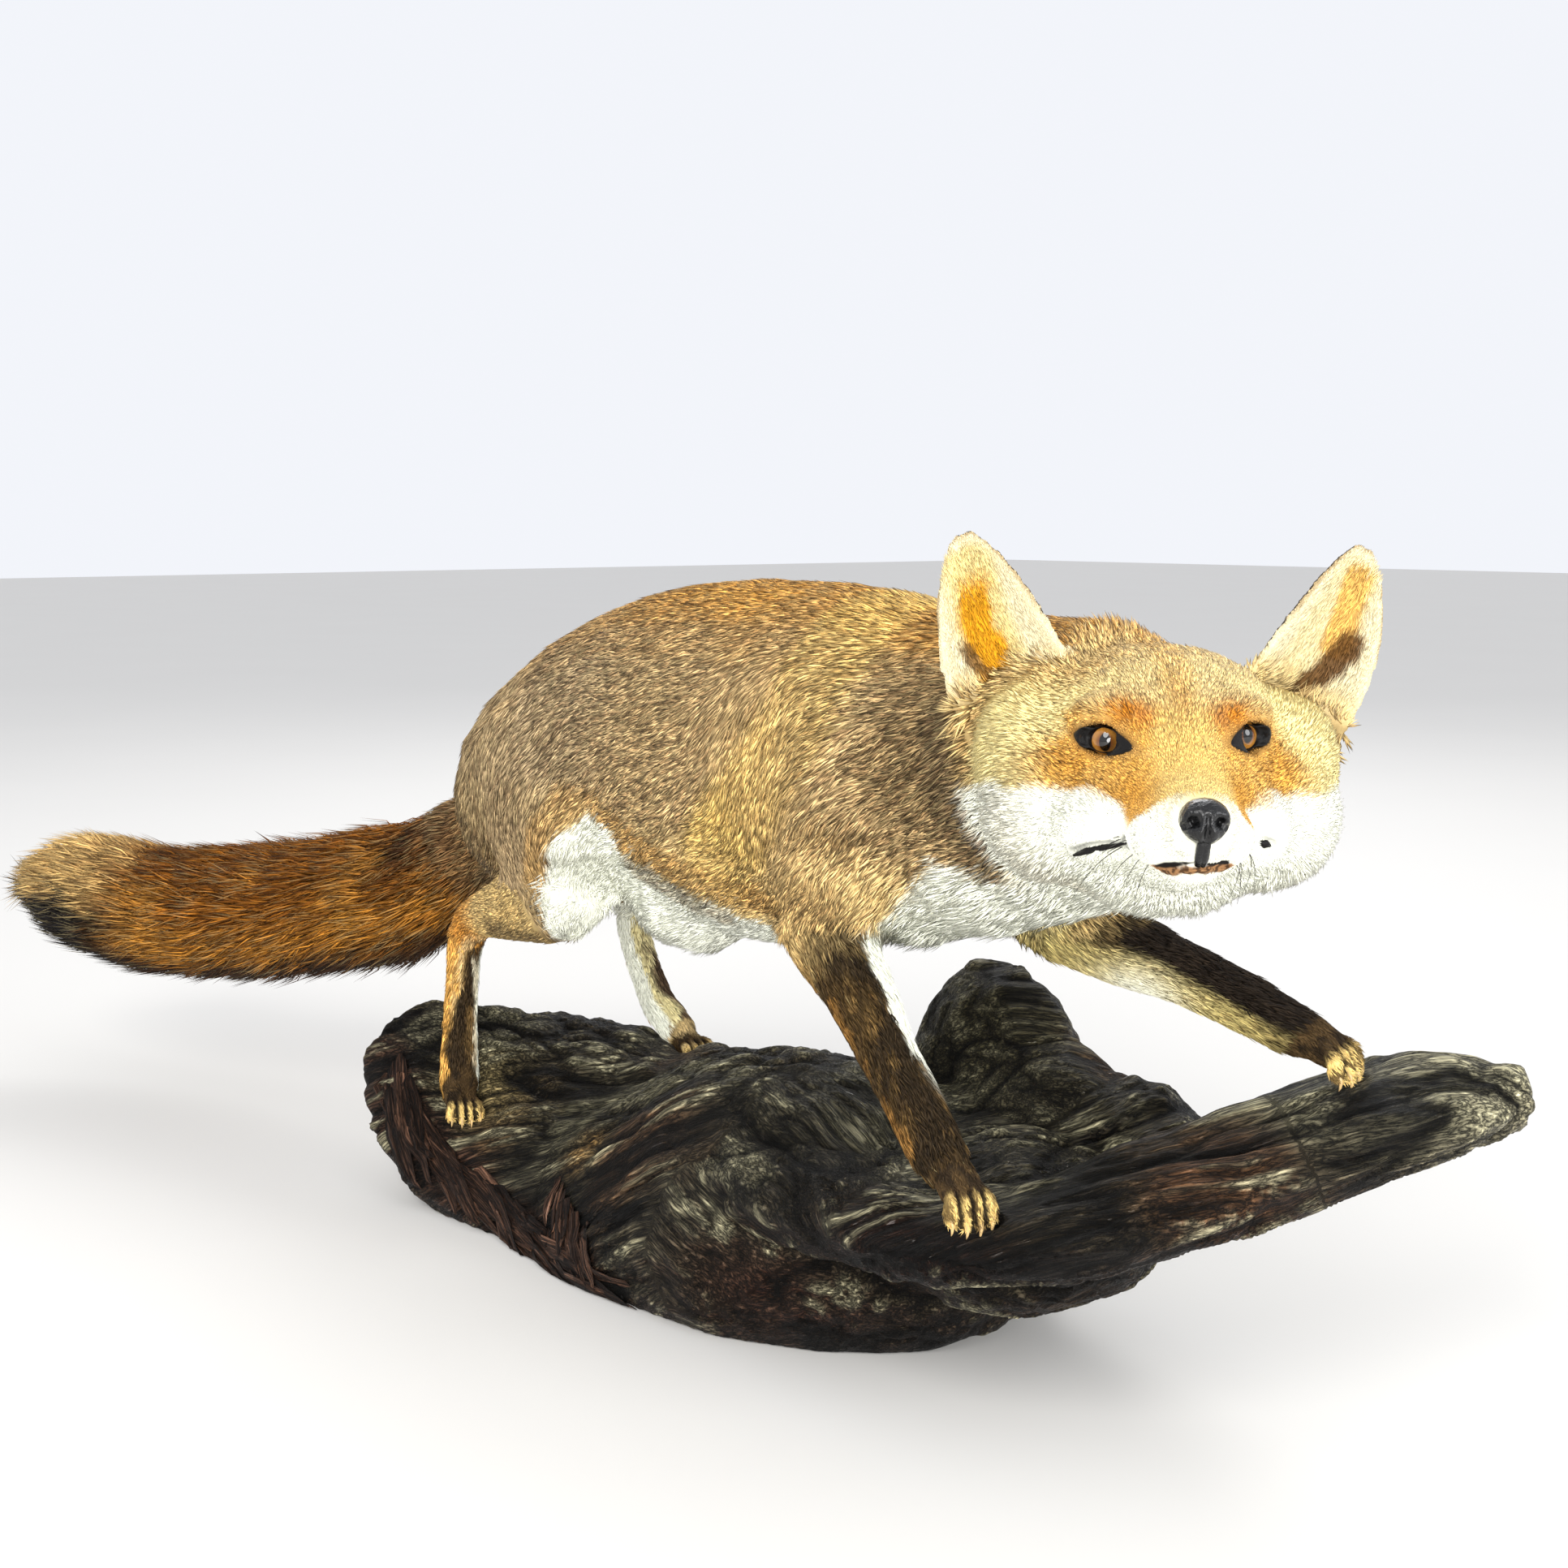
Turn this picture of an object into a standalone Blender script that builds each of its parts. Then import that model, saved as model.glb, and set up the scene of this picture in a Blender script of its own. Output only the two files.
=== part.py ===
"""Life-size taxidermy red fox, stalking over a driftwood base. Metres, +Z up.

The trunk lies along +X with the head at +X, and the fox's left side is +Y. The origin is the middle of
the flat that the driftwood rests on. Every outline is that of the coat, out to the tips of the hair.
The animal is modelled whole from lofts and balls, fused into one form, then parted with thin cuts.
"""

import math

import bmesh
import bpy
from mathutils import Matrix, Vector

# ------------------------------------------------------------------ driving dimensions
CUT = 0.0004  # width of the thin cuts between nodes
FUSE = 0.0025  # voxel that fuses the fox's form
WOOD_FUSE = 0.005  # voxel that fuses the driftwood
RING_SIDES = 20  # sides of a loft's rings
RINGS_PER_SPAN = 5  # rings between two stated sections

RIGHT, LEFT = -1, 1  # sign of Y on each side

# The head's own frame: origin midway between the eyes, +X out through the nose, +Y the fox's left.
HEAD_AT = Vector((0.264, -0.052, 0.304))
HEAD_YAW = math.radians(-41.5)  # turned to the fox's right
HEAD_PITCH = math.radians(3.0)  # nose slightly up
HEAD_ROLL = math.radians(-1.5)
EYE_APART = 0.0230  # each eye's centre from the middle of the face
EYE_RADIUS = 0.0085
NOSE_AT = Vector((0.0765, 0.0, -0.0225))
NOSE_RADII = (0.0085, 0.0088, 0.0078)
EAR_LENGTH = 0.074
EAR_HALF_WIDTH = 0.0245
EAR_THICK = 0.0048

# A section is x, y, z of its centre, then its half width and half height.
TRUNK = (
    (-0.288, -0.024, 0.200, 0.012, 0.018),
    (-0.274, -0.022, 0.205, 0.042, 0.046),
    (-0.242, -0.018, 0.218, 0.061, 0.066),
    (-0.196, -0.014, 0.237, 0.068, 0.077),
    (-0.148, -0.012, 0.254, 0.071, 0.082),
    (-0.095, -0.011, 0.262, 0.070, 0.089),
    (-0.035, -0.010, 0.262, 0.074, 0.094),
    (0.025, -0.010, 0.267, 0.072, 0.089),
    (0.072, -0.009, 0.268, 0.066, 0.083),
    (0.115, -0.009, 0.262, 0.055, 0.071),
    (0.145, -0.009, 0.256, 0.034, 0.046),
)
NECK = (
    (0.045, -0.009, 0.272, 0.060, 0.076),
    (0.110, -0.009, 0.272, 0.058, 0.074),
    (0.165, -0.010, 0.280, 0.056, 0.066),
    (0.212, -0.016, 0.288, 0.054, 0.058),
)
TAIL = (
    (-0.250, -0.016, 0.205, 0.024, 0.028),
    (-0.290, -0.030, 0.184, 0.034, 0.040),
    (-0.340, -0.052, 0.156, 0.041, 0.044),
    (-0.405, -0.080, 0.137, 0.044, 0.045),
    (-0.470, -0.108, 0.125, 0.045, 0.045),
    (-0.535, -0.138, 0.119, 0.044, 0.044),
    (-0.590, -0.166, 0.124, 0.039, 0.043),
    (-0.625, -0.186, 0.127, 0.029, 0.032),
    (-0.646, -0.198, 0.126, 0.012, 0.013),
)
BELLY_AT, BELLY_RADII = Vector((-0.084, -0.020, 0.190)), (0.046, 0.036, 0.036)
# Each leg is a loft from inside the body to the wrist or the ankle.
HIND_RIGHT = (
    (-0.205, -0.047, 0.258, 0.039, 0.052),
    (-0.165, -0.061, 0.220, 0.034, 0.050),
    (-0.140, -0.069, 0.190, 0.024, 0.034),
    (-0.175, -0.071, 0.172, 0.019, 0.022),
    (-0.222, -0.071, 0.160, 0.0145, 0.016),
    (-0.243, -0.071, 0.146, 0.0125, 0.0145),
    (-0.240, -0.077, 0.118, 0.0110, 0.0125),
    (-0.229, -0.086, 0.082, 0.0115, 0.0120),
    (-0.218, -0.092, 0.062, 0.0130, 0.0110),
)
HIND_LEFT = (
    (-0.205, 0.024, 0.258, 0.039, 0.052),
    (-0.160, 0.036, 0.222, 0.033, 0.050),
    (-0.135, 0.045, 0.192, 0.024, 0.034),
    (-0.172, 0.044, 0.176, 0.019, 0.022),
    (-0.214, 0.038, 0.164, 0.0145, 0.016),
    (-0.229, 0.034, 0.150, 0.0125, 0.0145),
    (-0.218, 0.031, 0.124, 0.0110, 0.0125),
    (-0.194, 0.028, 0.098, 0.0115, 0.0120),
    (-0.169, 0.026, 0.086, 0.0130, 0.0110),
)
FORE_RIGHT = (
    (0.040, -0.040, 0.275, 0.034, 0.050),
    (0.070, -0.052, 0.240, 0.027, 0.042),
    (0.060, -0.053, 0.205, 0.023, 0.026),
    (0.088, -0.056, 0.178, 0.0175, 0.0190),
    (0.118, -0.060, 0.150, 0.0140, 0.0150),
    (0.140, -0.064, 0.131, 0.0135, 0.0140),
    (0.160, -0.068, 0.117, 0.0140, 0.0125),
)
FORE_LEFT = (
    (0.060, 0.018, 0.270, 0.034, 0.050),
    (0.110, 0.034, 0.235, 0.027, 0.040),
    (0.118, 0.040, 0.206, 0.023, 0.026),
    (0.152, 0.046, 0.193, 0.0180, 0.0200),
    (0.190, 0.052, 0.184, 0.0140, 0.0155),
    (0.222, 0.057, 0.175, 0.0135, 0.0140),
    (0.240, 0.060, 0.168, 0.0140, 0.0125),
)
# A paw is its middle, the way that its toes point, the way its back faces, and its size.
FORE_PAW, HIND_PAW = 0.86, 0.80
PAWS = {
    "forepaw_right": ((0.176, -0.071, 0.108), (0.80, -0.28, -0.53), (0.50, -0.10, 0.86), FORE_PAW),
    "forepaw_left": ((0.254, 0.064, 0.164), (0.80, 0.15, -0.54), (0.54, 0.05, 0.82), FORE_PAW),
    "hindpaw_right": ((-0.212, -0.094, 0.057), (0.90, -0.25, -0.35), (0.35, 0.0, 0.94), HIND_PAW),
    "hindpaw_left": ((-0.158, 0.026, 0.082), (0.95, 0.08, -0.30), (0.30, 0.0, 0.95), HIND_PAW),
}
TOE_SPREAD = 0.0085  # between neighbouring toes
TOES = (-1.5, -0.5, 0.5, 1.5)  # places across the paw, in spreads
CLAW_LENGTH, CLAW_RADIUS = 0.010, 0.0019

# The driftwood's body leans: its far edge is high and its near edge meets the floor. Each section
# is x, then the y and z of its centre, its half depth along the lean, half thickness and lean.
WOOD_BODY = (
    (-0.298, -0.090, 0.080, 0.010, 0.008, 25),
    (-0.284, -0.090, 0.075, 0.031, 0.018, 25),
    (-0.250, -0.079, 0.060, 0.057, 0.025, 28),
    (-0.200, -0.051, 0.040, 0.081, 0.028, 29),
    (-0.145, -0.034, 0.028, 0.089, 0.036, 30),
    (-0.090, -0.033, 0.032, 0.090, 0.046, 32),
    (-0.030, -0.031, 0.041, 0.086, 0.058, 34),
    (0.030, -0.022, 0.045, 0.083, 0.060, 37),
    (0.080, -0.003, 0.048, 0.072, 0.057, 40),
    (0.115, 0.010, 0.056, 0.056, 0.044, 38),
    (0.136, 0.018, 0.064, 0.020, 0.020, 36),
)
# The ledge under the right forepaw, which runs out into the arm under the left one.
WOOD_ARM = (
    (0.020, -0.056, 0.070, 0.030, 0.018),
    (0.090, -0.066, 0.077, 0.036, 0.017),
    (0.150, -0.063, 0.081, 0.034, 0.015),
    (0.192, -0.036, 0.090, 0.036, 0.018),
    (0.226, 0.014, 0.109, 0.035, 0.021),
    (0.256, 0.062, 0.128, 0.033, 0.022),
    (0.282, 0.104, 0.140, 0.028, 0.020),
    (0.302, 0.134, 0.142, 0.011, 0.010),
)
WOOD_BALLS = (
    ((0.075, 0.048, 0.088), (0.056, 0.032, 0.082)),  # the broken stub
    ((0.118, 0.042, 0.084), (0.052, 0.036, 0.056)),
    ((0.158, 0.050, 0.096), (0.050, 0.030, 0.034)),
    ((0.130, -0.004, 0.072), (0.080, 0.062, 0.036)),
    ((0.030, 0.030, 0.030), (0.085, 0.060, 0.045)),
)


# ------------------------------------------------------------------ shapes
def clear_scene():
    for obj in list(bpy.data.objects):
        bpy.data.objects.remove(obj, do_unlink=True)


def collection(name):
    made = bpy.data.collections.new(name)
    bpy.context.scene.collection.children.link(made)
    return made


def object_of(name, mesh, group):
    obj = bpy.data.objects.new(name, mesh)
    group.objects.link(obj)
    return obj


def mesh_of(name, shape):
    mesh = bpy.data.meshes.new(name)
    bmesh.ops.recalc_face_normals(shape, faces=shape.faces)
    shape.to_mesh(mesh)
    shape.free()
    return mesh


def evaluated(obj):
    """The object's mesh with its modifiers applied, in its own space."""
    bpy.context.view_layer.update()
    graph = bpy.context.evaluated_depsgraph_get()
    return bpy.data.meshes.new_from_object(obj.evaluated_get(graph))


def ball(shape, centre, radii, turn=None, segments=20):
    """Adds an ellipsoid to the shape; turn is its rotation matrix."""
    place = Matrix.Translation(Vector(centre))
    if turn is not None:
        place = place @ turn
    bmesh.ops.create_uvsphere(
        shape,
        u_segments=segments,
        v_segments=segments // 2,
        radius=1.0,
        matrix=place @ Matrix.Diagonal((*radii, 1.0)),
    )


def spline(sections):
    """Catmull-Rom between the stated sections, end to end."""
    rows = [Vector(section) for section in sections]
    rows = [2 * rows[0] - rows[1], *rows, 2 * rows[-1] - rows[-2]]
    found = []
    for before, start, end, after in zip(rows, rows[1:], rows[2:], rows[3:]):
        for step in range(RINGS_PER_SPAN):
            t = step / RINGS_PER_SPAN
            found.append(
                0.5
                * (
                    2 * start
                    + (end - before) * t
                    + (2 * before - 5 * start + 4 * end - after) * t**2
                    + (3 * start - before - 3 * end + after) * t**3
                )
            )
    return [*found, rows[-2]]


def loft(shape, sections, place=None):
    """Adds a closed tube of elliptical rings square to its path, in the frame that place gives."""
    place = place or Matrix.Identity(4)
    rows = spline(sections)
    centres = [Vector(row[:3]) for row in rows]
    rings = []
    for i, row in enumerate(rows):
        ahead = centres[min(i + 1, len(rows) - 1)] - centres[max(i - 1, 0)]
        frame = ahead.to_track_quat("X", "Z").to_matrix()
        ring = []
        for k in range(RING_SIDES):
            angle = math.tau * k / RING_SIDES
            across = frame.col[1] * math.cos(angle) * max(row[3], 0.002)
            upward = frame.col[2] * math.sin(angle) * max(row[4], 0.002)
            ring.append(shape.verts.new(place @ (centres[i] + across + upward)))
        rings.append(ring)
    join_rings(shape, rings)


def join_rings(shape, rings):
    """Closes a row of rings into a tube with flat ends."""
    for first, second in zip(rings, rings[1:]):
        for k in range(RING_SIDES):
            after = (k + 1) % RING_SIDES
            shape.faces.new((first[k], first[after], second[after], second[k]))
    shape.faces.new(rings[0][::-1])
    shape.faces.new(rings[-1])


def frame_along(at, forward, upward):
    """A frame at a point whose +X is forward and whose +Z is as near upward as it can be."""
    x = Vector(forward).normalized()
    y = Vector(upward).cross(x).normalized()
    turn = Matrix((x, y, x.cross(y))).transposed().to_4x4()
    return Matrix.Translation(Vector(at)) @ turn


# ------------------------------------------------------------------ the fox's form
def head_frame():
    turn = Matrix.Rotation(HEAD_YAW, 4, "Z") @ Matrix.Rotation(-HEAD_PITCH, 4, "Y")
    return Matrix.Translation(HEAD_AT) @ turn @ Matrix.Rotation(HEAD_ROLL, 4, "X")


# The face along its own +X, from the nape to the front of the upper lip.
FACE = (
    (-0.095, 0.0, -0.006, 0.020, 0.022),
    (-0.078, 0.0, -0.004, 0.043, 0.036),
    (-0.050, 0.0, -0.003, 0.052, 0.039),
    (-0.022, 0.0, -0.006, 0.046, 0.038),
    (0.000, 0.0, -0.011, 0.036, 0.032),
    (0.016, 0.0, -0.015, 0.0265, 0.0265),
    (0.034, 0.0, -0.020, 0.0200, 0.0205),
    (0.054, 0.0, -0.024, 0.0160, 0.0160),
    (0.070, 0.0, -0.0265, 0.0130, 0.0135),
    (0.0775, 0.0, -0.0275, 0.0080, 0.0090),
)
# Balls of the head that come in pairs: centre on the left side, and radii.
HEAD_PAIRS = (
    ((-0.034, 0.040, -0.030), (0.038, 0.031, 0.031)),  # cheek ruff
    ((-0.048, 0.049, -0.010), (0.028, 0.024, 0.028)),  # below the ear
    ((-0.002, 0.025, -0.031), (0.036, 0.021, 0.019)),  # cheek
    ((0.036, 0.0115, -0.031), (0.032, 0.0125, 0.0125)),  # whisker pad
    ((-0.006, 0.023, 0.010), (0.017, 0.016, 0.009)),  # brow
)
# Balls of the head on the middle plane.
HEAD_MIDDLES = (
    ((-0.028, 0.0, -0.040), (0.046, 0.042, 0.031)),  # throat ruff
    ((0.038, 0.0, -0.040), (0.030, 0.0125, 0.0095)),  # chin
    ((0.008, 0.0, -0.038), (0.040, 0.024, 0.018)),  # lower jaw
)


def add_head(shape):
    place = head_frame()
    loft(shape, FACE, place)
    for (x, y, z), radii in HEAD_PAIRS:
        for side in (RIGHT, LEFT):
            ball(shape, place @ Vector((x, side * y, z)), radii, place.to_3x3().to_4x4())
    for centre, radii in HEAD_MIDDLES:
        ball(shape, place @ Vector(centre), radii, place.to_3x3().to_4x4())


def add_paw(shape, at, forward, upward, size):
    """A paw: its pad, and toes that fan out a little and bend down at their ends."""
    place = frame_along(at, forward, upward) @ Matrix.Scale(size, 4)
    turn = place.to_3x3().to_4x4()
    ball(shape, place @ Vector((-0.004, 0, 0)), (0.019, 0.0145, 0.0115), turn)
    for number in TOES:
        across = number * TOE_SPREAD
        reach = toe_reach(number)
        loft(
            shape,
            (
                (0.000, across * 0.80, 0.001, 0.0055, 0.0070),
                (reach * 0.6, across * 0.95, 0.0025, 0.0054, 0.0066),
                (reach, across * 1.05, -0.0010, 0.0050, 0.0060),
                (reach + 0.006, across * 1.08, -0.0050, 0.0028, 0.0035),
            ),
            place,
        )


def toe_reach(number):
    return 0.0175 - 0.0035 * abs(number)


def claws(paw, group):
    """The paw's four claws, rooted inside the ends of its toes."""
    at, forward, upward, size = PAWS[paw]
    place = frame_along(at, forward, upward) @ Matrix.Scale(size, 4)
    shape = bmesh.new()
    for number in TOES:
        root = (toe_reach(number) + 0.0030, number * TOE_SPREAD * 1.08, -0.0030)
        claw = place @ frame_along(root, (0.80, 0.0, -0.60), (0.60, 0.0, 0.80))
        claw = claw @ Matrix.Rotation(math.pi / 2, 4, "Y") @ Matrix.Translation((0, 0, CLAW_LENGTH / 2))
        bmesh.ops.create_cone(
            shape,
            cap_ends=True,
            segments=5,
            radius1=CLAW_RADIUS,
            radius2=CLAW_RADIUS / 6,
            depth=CLAW_LENGTH,
            matrix=claw,
        )
    made = object_of(f"{paw}_claws", mesh_of("claws", shape), group)
    made.hide_render = True
    made.display_type = "WIRE"
    return made


def fox_form(helpers):
    """The whole animal as one closed, smoothed surface, without ears and eyes."""
    shape = bmesh.new()
    for sections in (TRUNK, NECK, TAIL, HIND_RIGHT, HIND_LEFT, FORE_RIGHT, FORE_LEFT):
        loft(shape, sections)
    ball(shape, BELLY_AT, BELLY_RADII)
    add_head(shape)
    for paw in PAWS.values():
        add_paw(shape, *paw)
    form = object_of("form", mesh_of("form", shape), helpers)
    fuse = form.modifiers.new("fuse", "REMESH")
    fuse.mode = "VOXEL"
    fuse.voxel_size = FUSE
    form.data = evaluated(form)
    form.modifiers.clear()
    soften(form)
    return form


# Places kept crisp while the form is smoothed: a point, and how far the crispness reaches.
CRISP_REACH = 0.045
SMOOTH_BODY, SMOOTH_ALL = 26, 6


def soften(form):
    """Smooths the trunk's joins well, and the face and paws only a little."""
    crisp = [head_frame() @ Vector((0.045, 0, -0.02)), *(Vector(paw[0]) for paw in PAWS.values())]
    group = form.vertex_groups.new(name="soft")
    for vertex in form.data.vertices:
        near = min((vertex.co - point).length for point in crisp)
        group.add([vertex.index], min(1.0, max(0.0, near / CRISP_REACH - 1.0)), "REPLACE")
    for name, rounds, where in (("all", SMOOTH_ALL, ""), ("body", SMOOTH_BODY, "soft")):
        smooth = form.modifiers.new(name, "SMOOTH")
        smooth.factor = 0.5
        smooth.iterations = rounds
        smooth.vertex_group = where
    form.data = evaluated(form)
    form.modifiers.clear()


# ------------------------------------------------------------------ parting
def box_between(shape, low, high, grow):
    """Adds a box square to the axes, grown by grow on every side."""
    low, high = Vector(low), Vector(high)
    size = (high - low) / 2
    place = Matrix.Translation((low + high) / 2)
    scale = Matrix.Diagonal((size.x + grow, size.y + grow, size.z + grow, 1.0))
    bmesh.ops.create_cube(shape, size=2.0, matrix=place @ scale)


def box_ahead(shape, place, reach, half_width, half_height, grow):
    """Adds a box that starts at the frame's origin and runs along its +X."""
    middle = Matrix.Translation(((reach - grow) / 2, 0, 0))
    scale = Matrix.Diagonal(((reach + grow) / 2, half_width + grow, half_height + grow, 1.0))
    bmesh.ops.create_cube(shape, size=2.0, matrix=place @ middle @ scale)


# A leg's region is a ball round its upper joint, joined to a box round the rest of it.
LEG_REGIONS = {
    "hind_leg_right": (
        ((-0.178, -0.078, 0.215), (0.085, 0.036, 0.072)),
        ((-0.268, -0.150, 0.020), (-0.080, -0.026, 0.178)),
    ),
    "hind_leg_left": (
        ((-0.175, 0.054, 0.215), (0.085, 0.036, 0.072)),
        ((-0.268, 0.004, 0.020), (-0.090, 0.130, 0.184)),
    ),
    "foreleg_right": (
        ((0.066, -0.078, 0.224), (0.052, 0.034, 0.074)),
        ((0.046, -0.130, 0.040), (0.280, -0.034, 0.190)),
    ),
    "foreleg_left": (
        ((0.095, 0.056, 0.230), (0.056, 0.034, 0.066)),
        ((0.110, 0.014, 0.100), (0.340, 0.130, 0.205)),
    ),
}
LEG_PAWS = {
    "hind_leg_right": "hindpaw_right",
    "hind_leg_left": "hindpaw_left",
    "foreleg_right": "forepaw_right",
    "foreleg_left": "forepaw_left",
}


def cutter(name, group, *parts):
    """One closed cutter from shapes that overlap: each part is a function that fills a bmesh."""
    made = []
    for number, fill in enumerate(parts):
        shape = bmesh.new()
        fill(shape)
        obj = object_of(f"{name}_{number}", mesh_of(name, shape), group)
        obj.hide_render = True
        obj.display_type = "WIRE"
        made.append(obj)
    whole = made[0]
    for obj in made[1:]:
        join = whole.modifiers.new("join", "BOOLEAN")
        join.operation = "UNION"
        join.object = obj
        whole.data = evaluated(whole)
        whole.modifiers.clear()
        bpy.data.objects.remove(obj)
    return whole


def leg_cutter(leg, grow, group):
    (centre, radii), (low, high) = LEG_REGIONS[leg]
    grown = [radius + grow for radius in radii]
    return cutter(
        f"{leg}_region",
        group,
        lambda shape: ball(shape, centre, grown, segments=24),
        lambda shape: box_between(shape, low, high, grow),
    )


def paw_frame(paw):
    at, forward, upward, size = PAWS[paw]
    return frame_along(at, forward, upward) @ Matrix.Translation((-0.016 * size, 0, 0))


def paw_cutter(paw, grow, group):
    place = paw_frame(paw)
    return cutter(
        f"{paw}_region", group, lambda shape: box_ahead(shape, place, 0.06, 0.034, 0.030, grow)
    )


NECK_START = ((0.100, -0.009, 0.275), (1.0, 0.0, 0.10))
HEAD_START = ((0.206, -0.004, 0.300), (0.82, -0.57, 0.05))
TAIL_START = ((-0.292, -0.030, 0.184), (-0.92, -0.36, -0.14))
TAIL_TIP_START = ((-0.560, -0.150, 0.121), (-0.88, -0.47, 0.0))
REGIONS = {  # start, reach, half width and half height
    "neck": (NECK_START, 0.160, 0.085, 0.115),
    "head": (HEAD_START, 0.180, 0.120, 0.085),
    "tail": (TAIL_START, 0.420, 0.110, 0.100),
    "tail_tip": (TAIL_TIP_START, 0.150, 0.090, 0.090),
}


def region_cutter(name, grow, group):
    (at, forward), reach, half_width, half_height = REGIONS[name]
    place = frame_along(at, forward, (0, 0, 1))
    return cutter(
        f"{name}_region",
        group,
        lambda shape: box_ahead(shape, place, reach, half_width, half_height, grow),
    )


def cut(obj, other, operation):
    step = obj.modifiers.new(operation.lower(), "BOOLEAN")
    step.operation = operation
    step.object = other
    step.solver = "EXACT"


def thinned(form, ratio, group):
    """A copy of the form with that share of its triangles."""
    copy = object_of("thinned", form.data.copy(), group)
    thin = copy.modifiers.new("thin", "DECIMATE")
    thin.ratio = ratio
    mesh = evaluated(copy)
    bpy.data.objects.remove(copy)
    return mesh


# ------------------------------------------------------------------ eyes, nose, ears
def eye_centre(side):
    return head_frame() @ Vector((-0.0022, side * EYE_APART, -0.0005))


def eye_ball(name, side, group):
    shape = bmesh.new()
    bmesh.ops.create_icosphere(
        shape, subdivisions=2, radius=EYE_RADIUS, matrix=Matrix.Translation(eye_centre(side))
    )
    return object_of(name, mesh_of(name, shape), group)


def eye_socket(side, group):
    """The socket: the ball's own seat, and the almond opening between the lids."""
    place = head_frame() @ Matrix.Translation((0.003, side * 0.0235, -0.0005))
    turn = place.to_3x3().to_4x4() @ Matrix.Rotation(side * math.radians(28), 4, "Z")
    turn = turn @ Matrix.Rotation(side * math.radians(-10), 4, "X")
    return cutter(
        f"socket{side}",
        group,
        lambda shape: ball(shape, eye_centre(side), [EYE_RADIUS + CUT] * 3, segments=14),
        lambda shape: ball(shape, place.translation, (0.015, 0.0105, 0.0058), turn, 14),
    )


def nose(group):
    """The bare nose pad with its two nostrils and the groove below."""
    place = head_frame()
    turn = place.to_3x3().to_4x4()
    shape = bmesh.new()
    ball(shape, place @ NOSE_AT, NOSE_RADII, turn, segments=14)
    pad = object_of("nose", mesh_of("nose", shape), group)
    return pad


def nostrils(group):
    place = head_frame()
    turn = place.to_3x3().to_4x4()
    found = []
    for side in (RIGHT, LEFT):
        at = place @ (NOSE_AT + Vector((0.0078, side * 0.0048, 0.0)))
        found.append(
            cutter(f"nostril{side}", group, lambda shape: ball(shape, at, (0.003, 0.0022, 0.0018), turn, 10))
        )
    return found


# An ear's base, the way that its tip points and the way that its cup faces, in the head's frame.
EAR_BASE = Vector((-0.058, 0.053, 0.006))
EAR_TIP_WAY = {RIGHT: (-0.10, -0.37, 1.0), LEFT: (-0.10, 0.42, 1.0)}
EAR_FACES = {RIGHT: (0.92, -0.30, 0.0), LEFT: (0.90, 0.36, 0.0)}
EAR_CUP = 0.017
EAR_STEPS = 7


def ear(name, side, group):
    """A cupped leaf: an open sheet thickened to the ear's own wall."""
    base = Vector((EAR_BASE.x, side * EAR_BASE.y, EAR_BASE.z))
    place = head_frame() @ frame_along(base, EAR_TIP_WAY[side], EAR_FACES[side])
    shape = bmesh.new()
    rows = []
    for i in range(EAR_STEPS + 1):
        along = i / EAR_STEPS
        half = EAR_HALF_WIDTH * max(0.0, 1.0 - along**2.1) ** 0.72 + 0.0012
        row = []
        for k in range(EAR_STEPS + 1):
            across = 2 * k / EAR_STEPS - 1
            cup = EAR_CUP * (1 - across**2) * (1 - 0.75 * along)
            lean = 0.006 * math.sin(math.pi * along)
            point = Vector((along * EAR_LENGTH, across * half, lean - cup))
            row.append(shape.verts.new(place @ point))
        rows.append(row)
    for low, high in zip(rows, rows[1:]):
        for k in range(EAR_STEPS):
            shape.faces.new((low[k], low[k + 1], high[k + 1], high[k]))
    obj = object_of(name, mesh_of(name, shape), group)
    wall = obj.modifiers.new("wall", "SOLIDIFY")
    wall.thickness = EAR_THICK
    wall.offset = 0.0
    return obj


# ------------------------------------------------------------------ driftwood
def leaning_loft(shape, sections):
    """Adds a closed tube along X whose elliptical rings each lean about X."""
    rings = []
    for x, y, z, depth, thick, lean in spline(sections):
        turn = Matrix.Rotation(math.radians(lean), 3, "X")
        ring = []
        for k in range(RING_SIDES):
            angle = math.tau * k / RING_SIDES
            offset = turn @ Vector((0.0, max(depth, 0.002) * math.cos(angle), thick * math.sin(angle)))
            ring.append(shape.verts.new(Vector((x, y, z)) + offset))
        rings.append(ring)
    join_rings(shape, rings)


def driftwood(group, helpers):
    shape = bmesh.new()
    leaning_loft(shape, WOOD_BODY)
    loft(shape, WOOD_ARM)
    for centre, radii in WOOD_BALLS:
        ball(shape, centre, radii)
    raw = object_of("driftwood", mesh_of("driftwood", shape), group)
    fuse = raw.modifiers.new("fuse", "REMESH")
    fuse.mode = "VOXEL"
    fuse.voxel_size = WOOD_FUSE
    smooth = raw.modifiers.new("smooth", "SMOOTH")
    smooth.iterations = 4
    thin = raw.modifiers.new("thin", "DECIMATE")
    thin.ratio = WOOD_SHARE
    floor = cutter(
        "floor", helpers, lambda box: box_between(box, (-0.6, -0.5, -0.2), (0.6, 0.5, 0.0), 0.0)
    )
    cut(raw, floor, "DIFFERENCE")
    return raw


def swollen(mesh, name, group):
    """A copy of a mesh grown by the cut's width, to cut a neighbour with."""
    obj = object_of(name, mesh, group)
    obj.hide_render = True
    obj.display_type = "WIRE"
    grow = obj.modifiers.new("grow", "DISPLACE")
    grow.strength = CUT
    grow.mid_level = 0.0
    return obj


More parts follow.
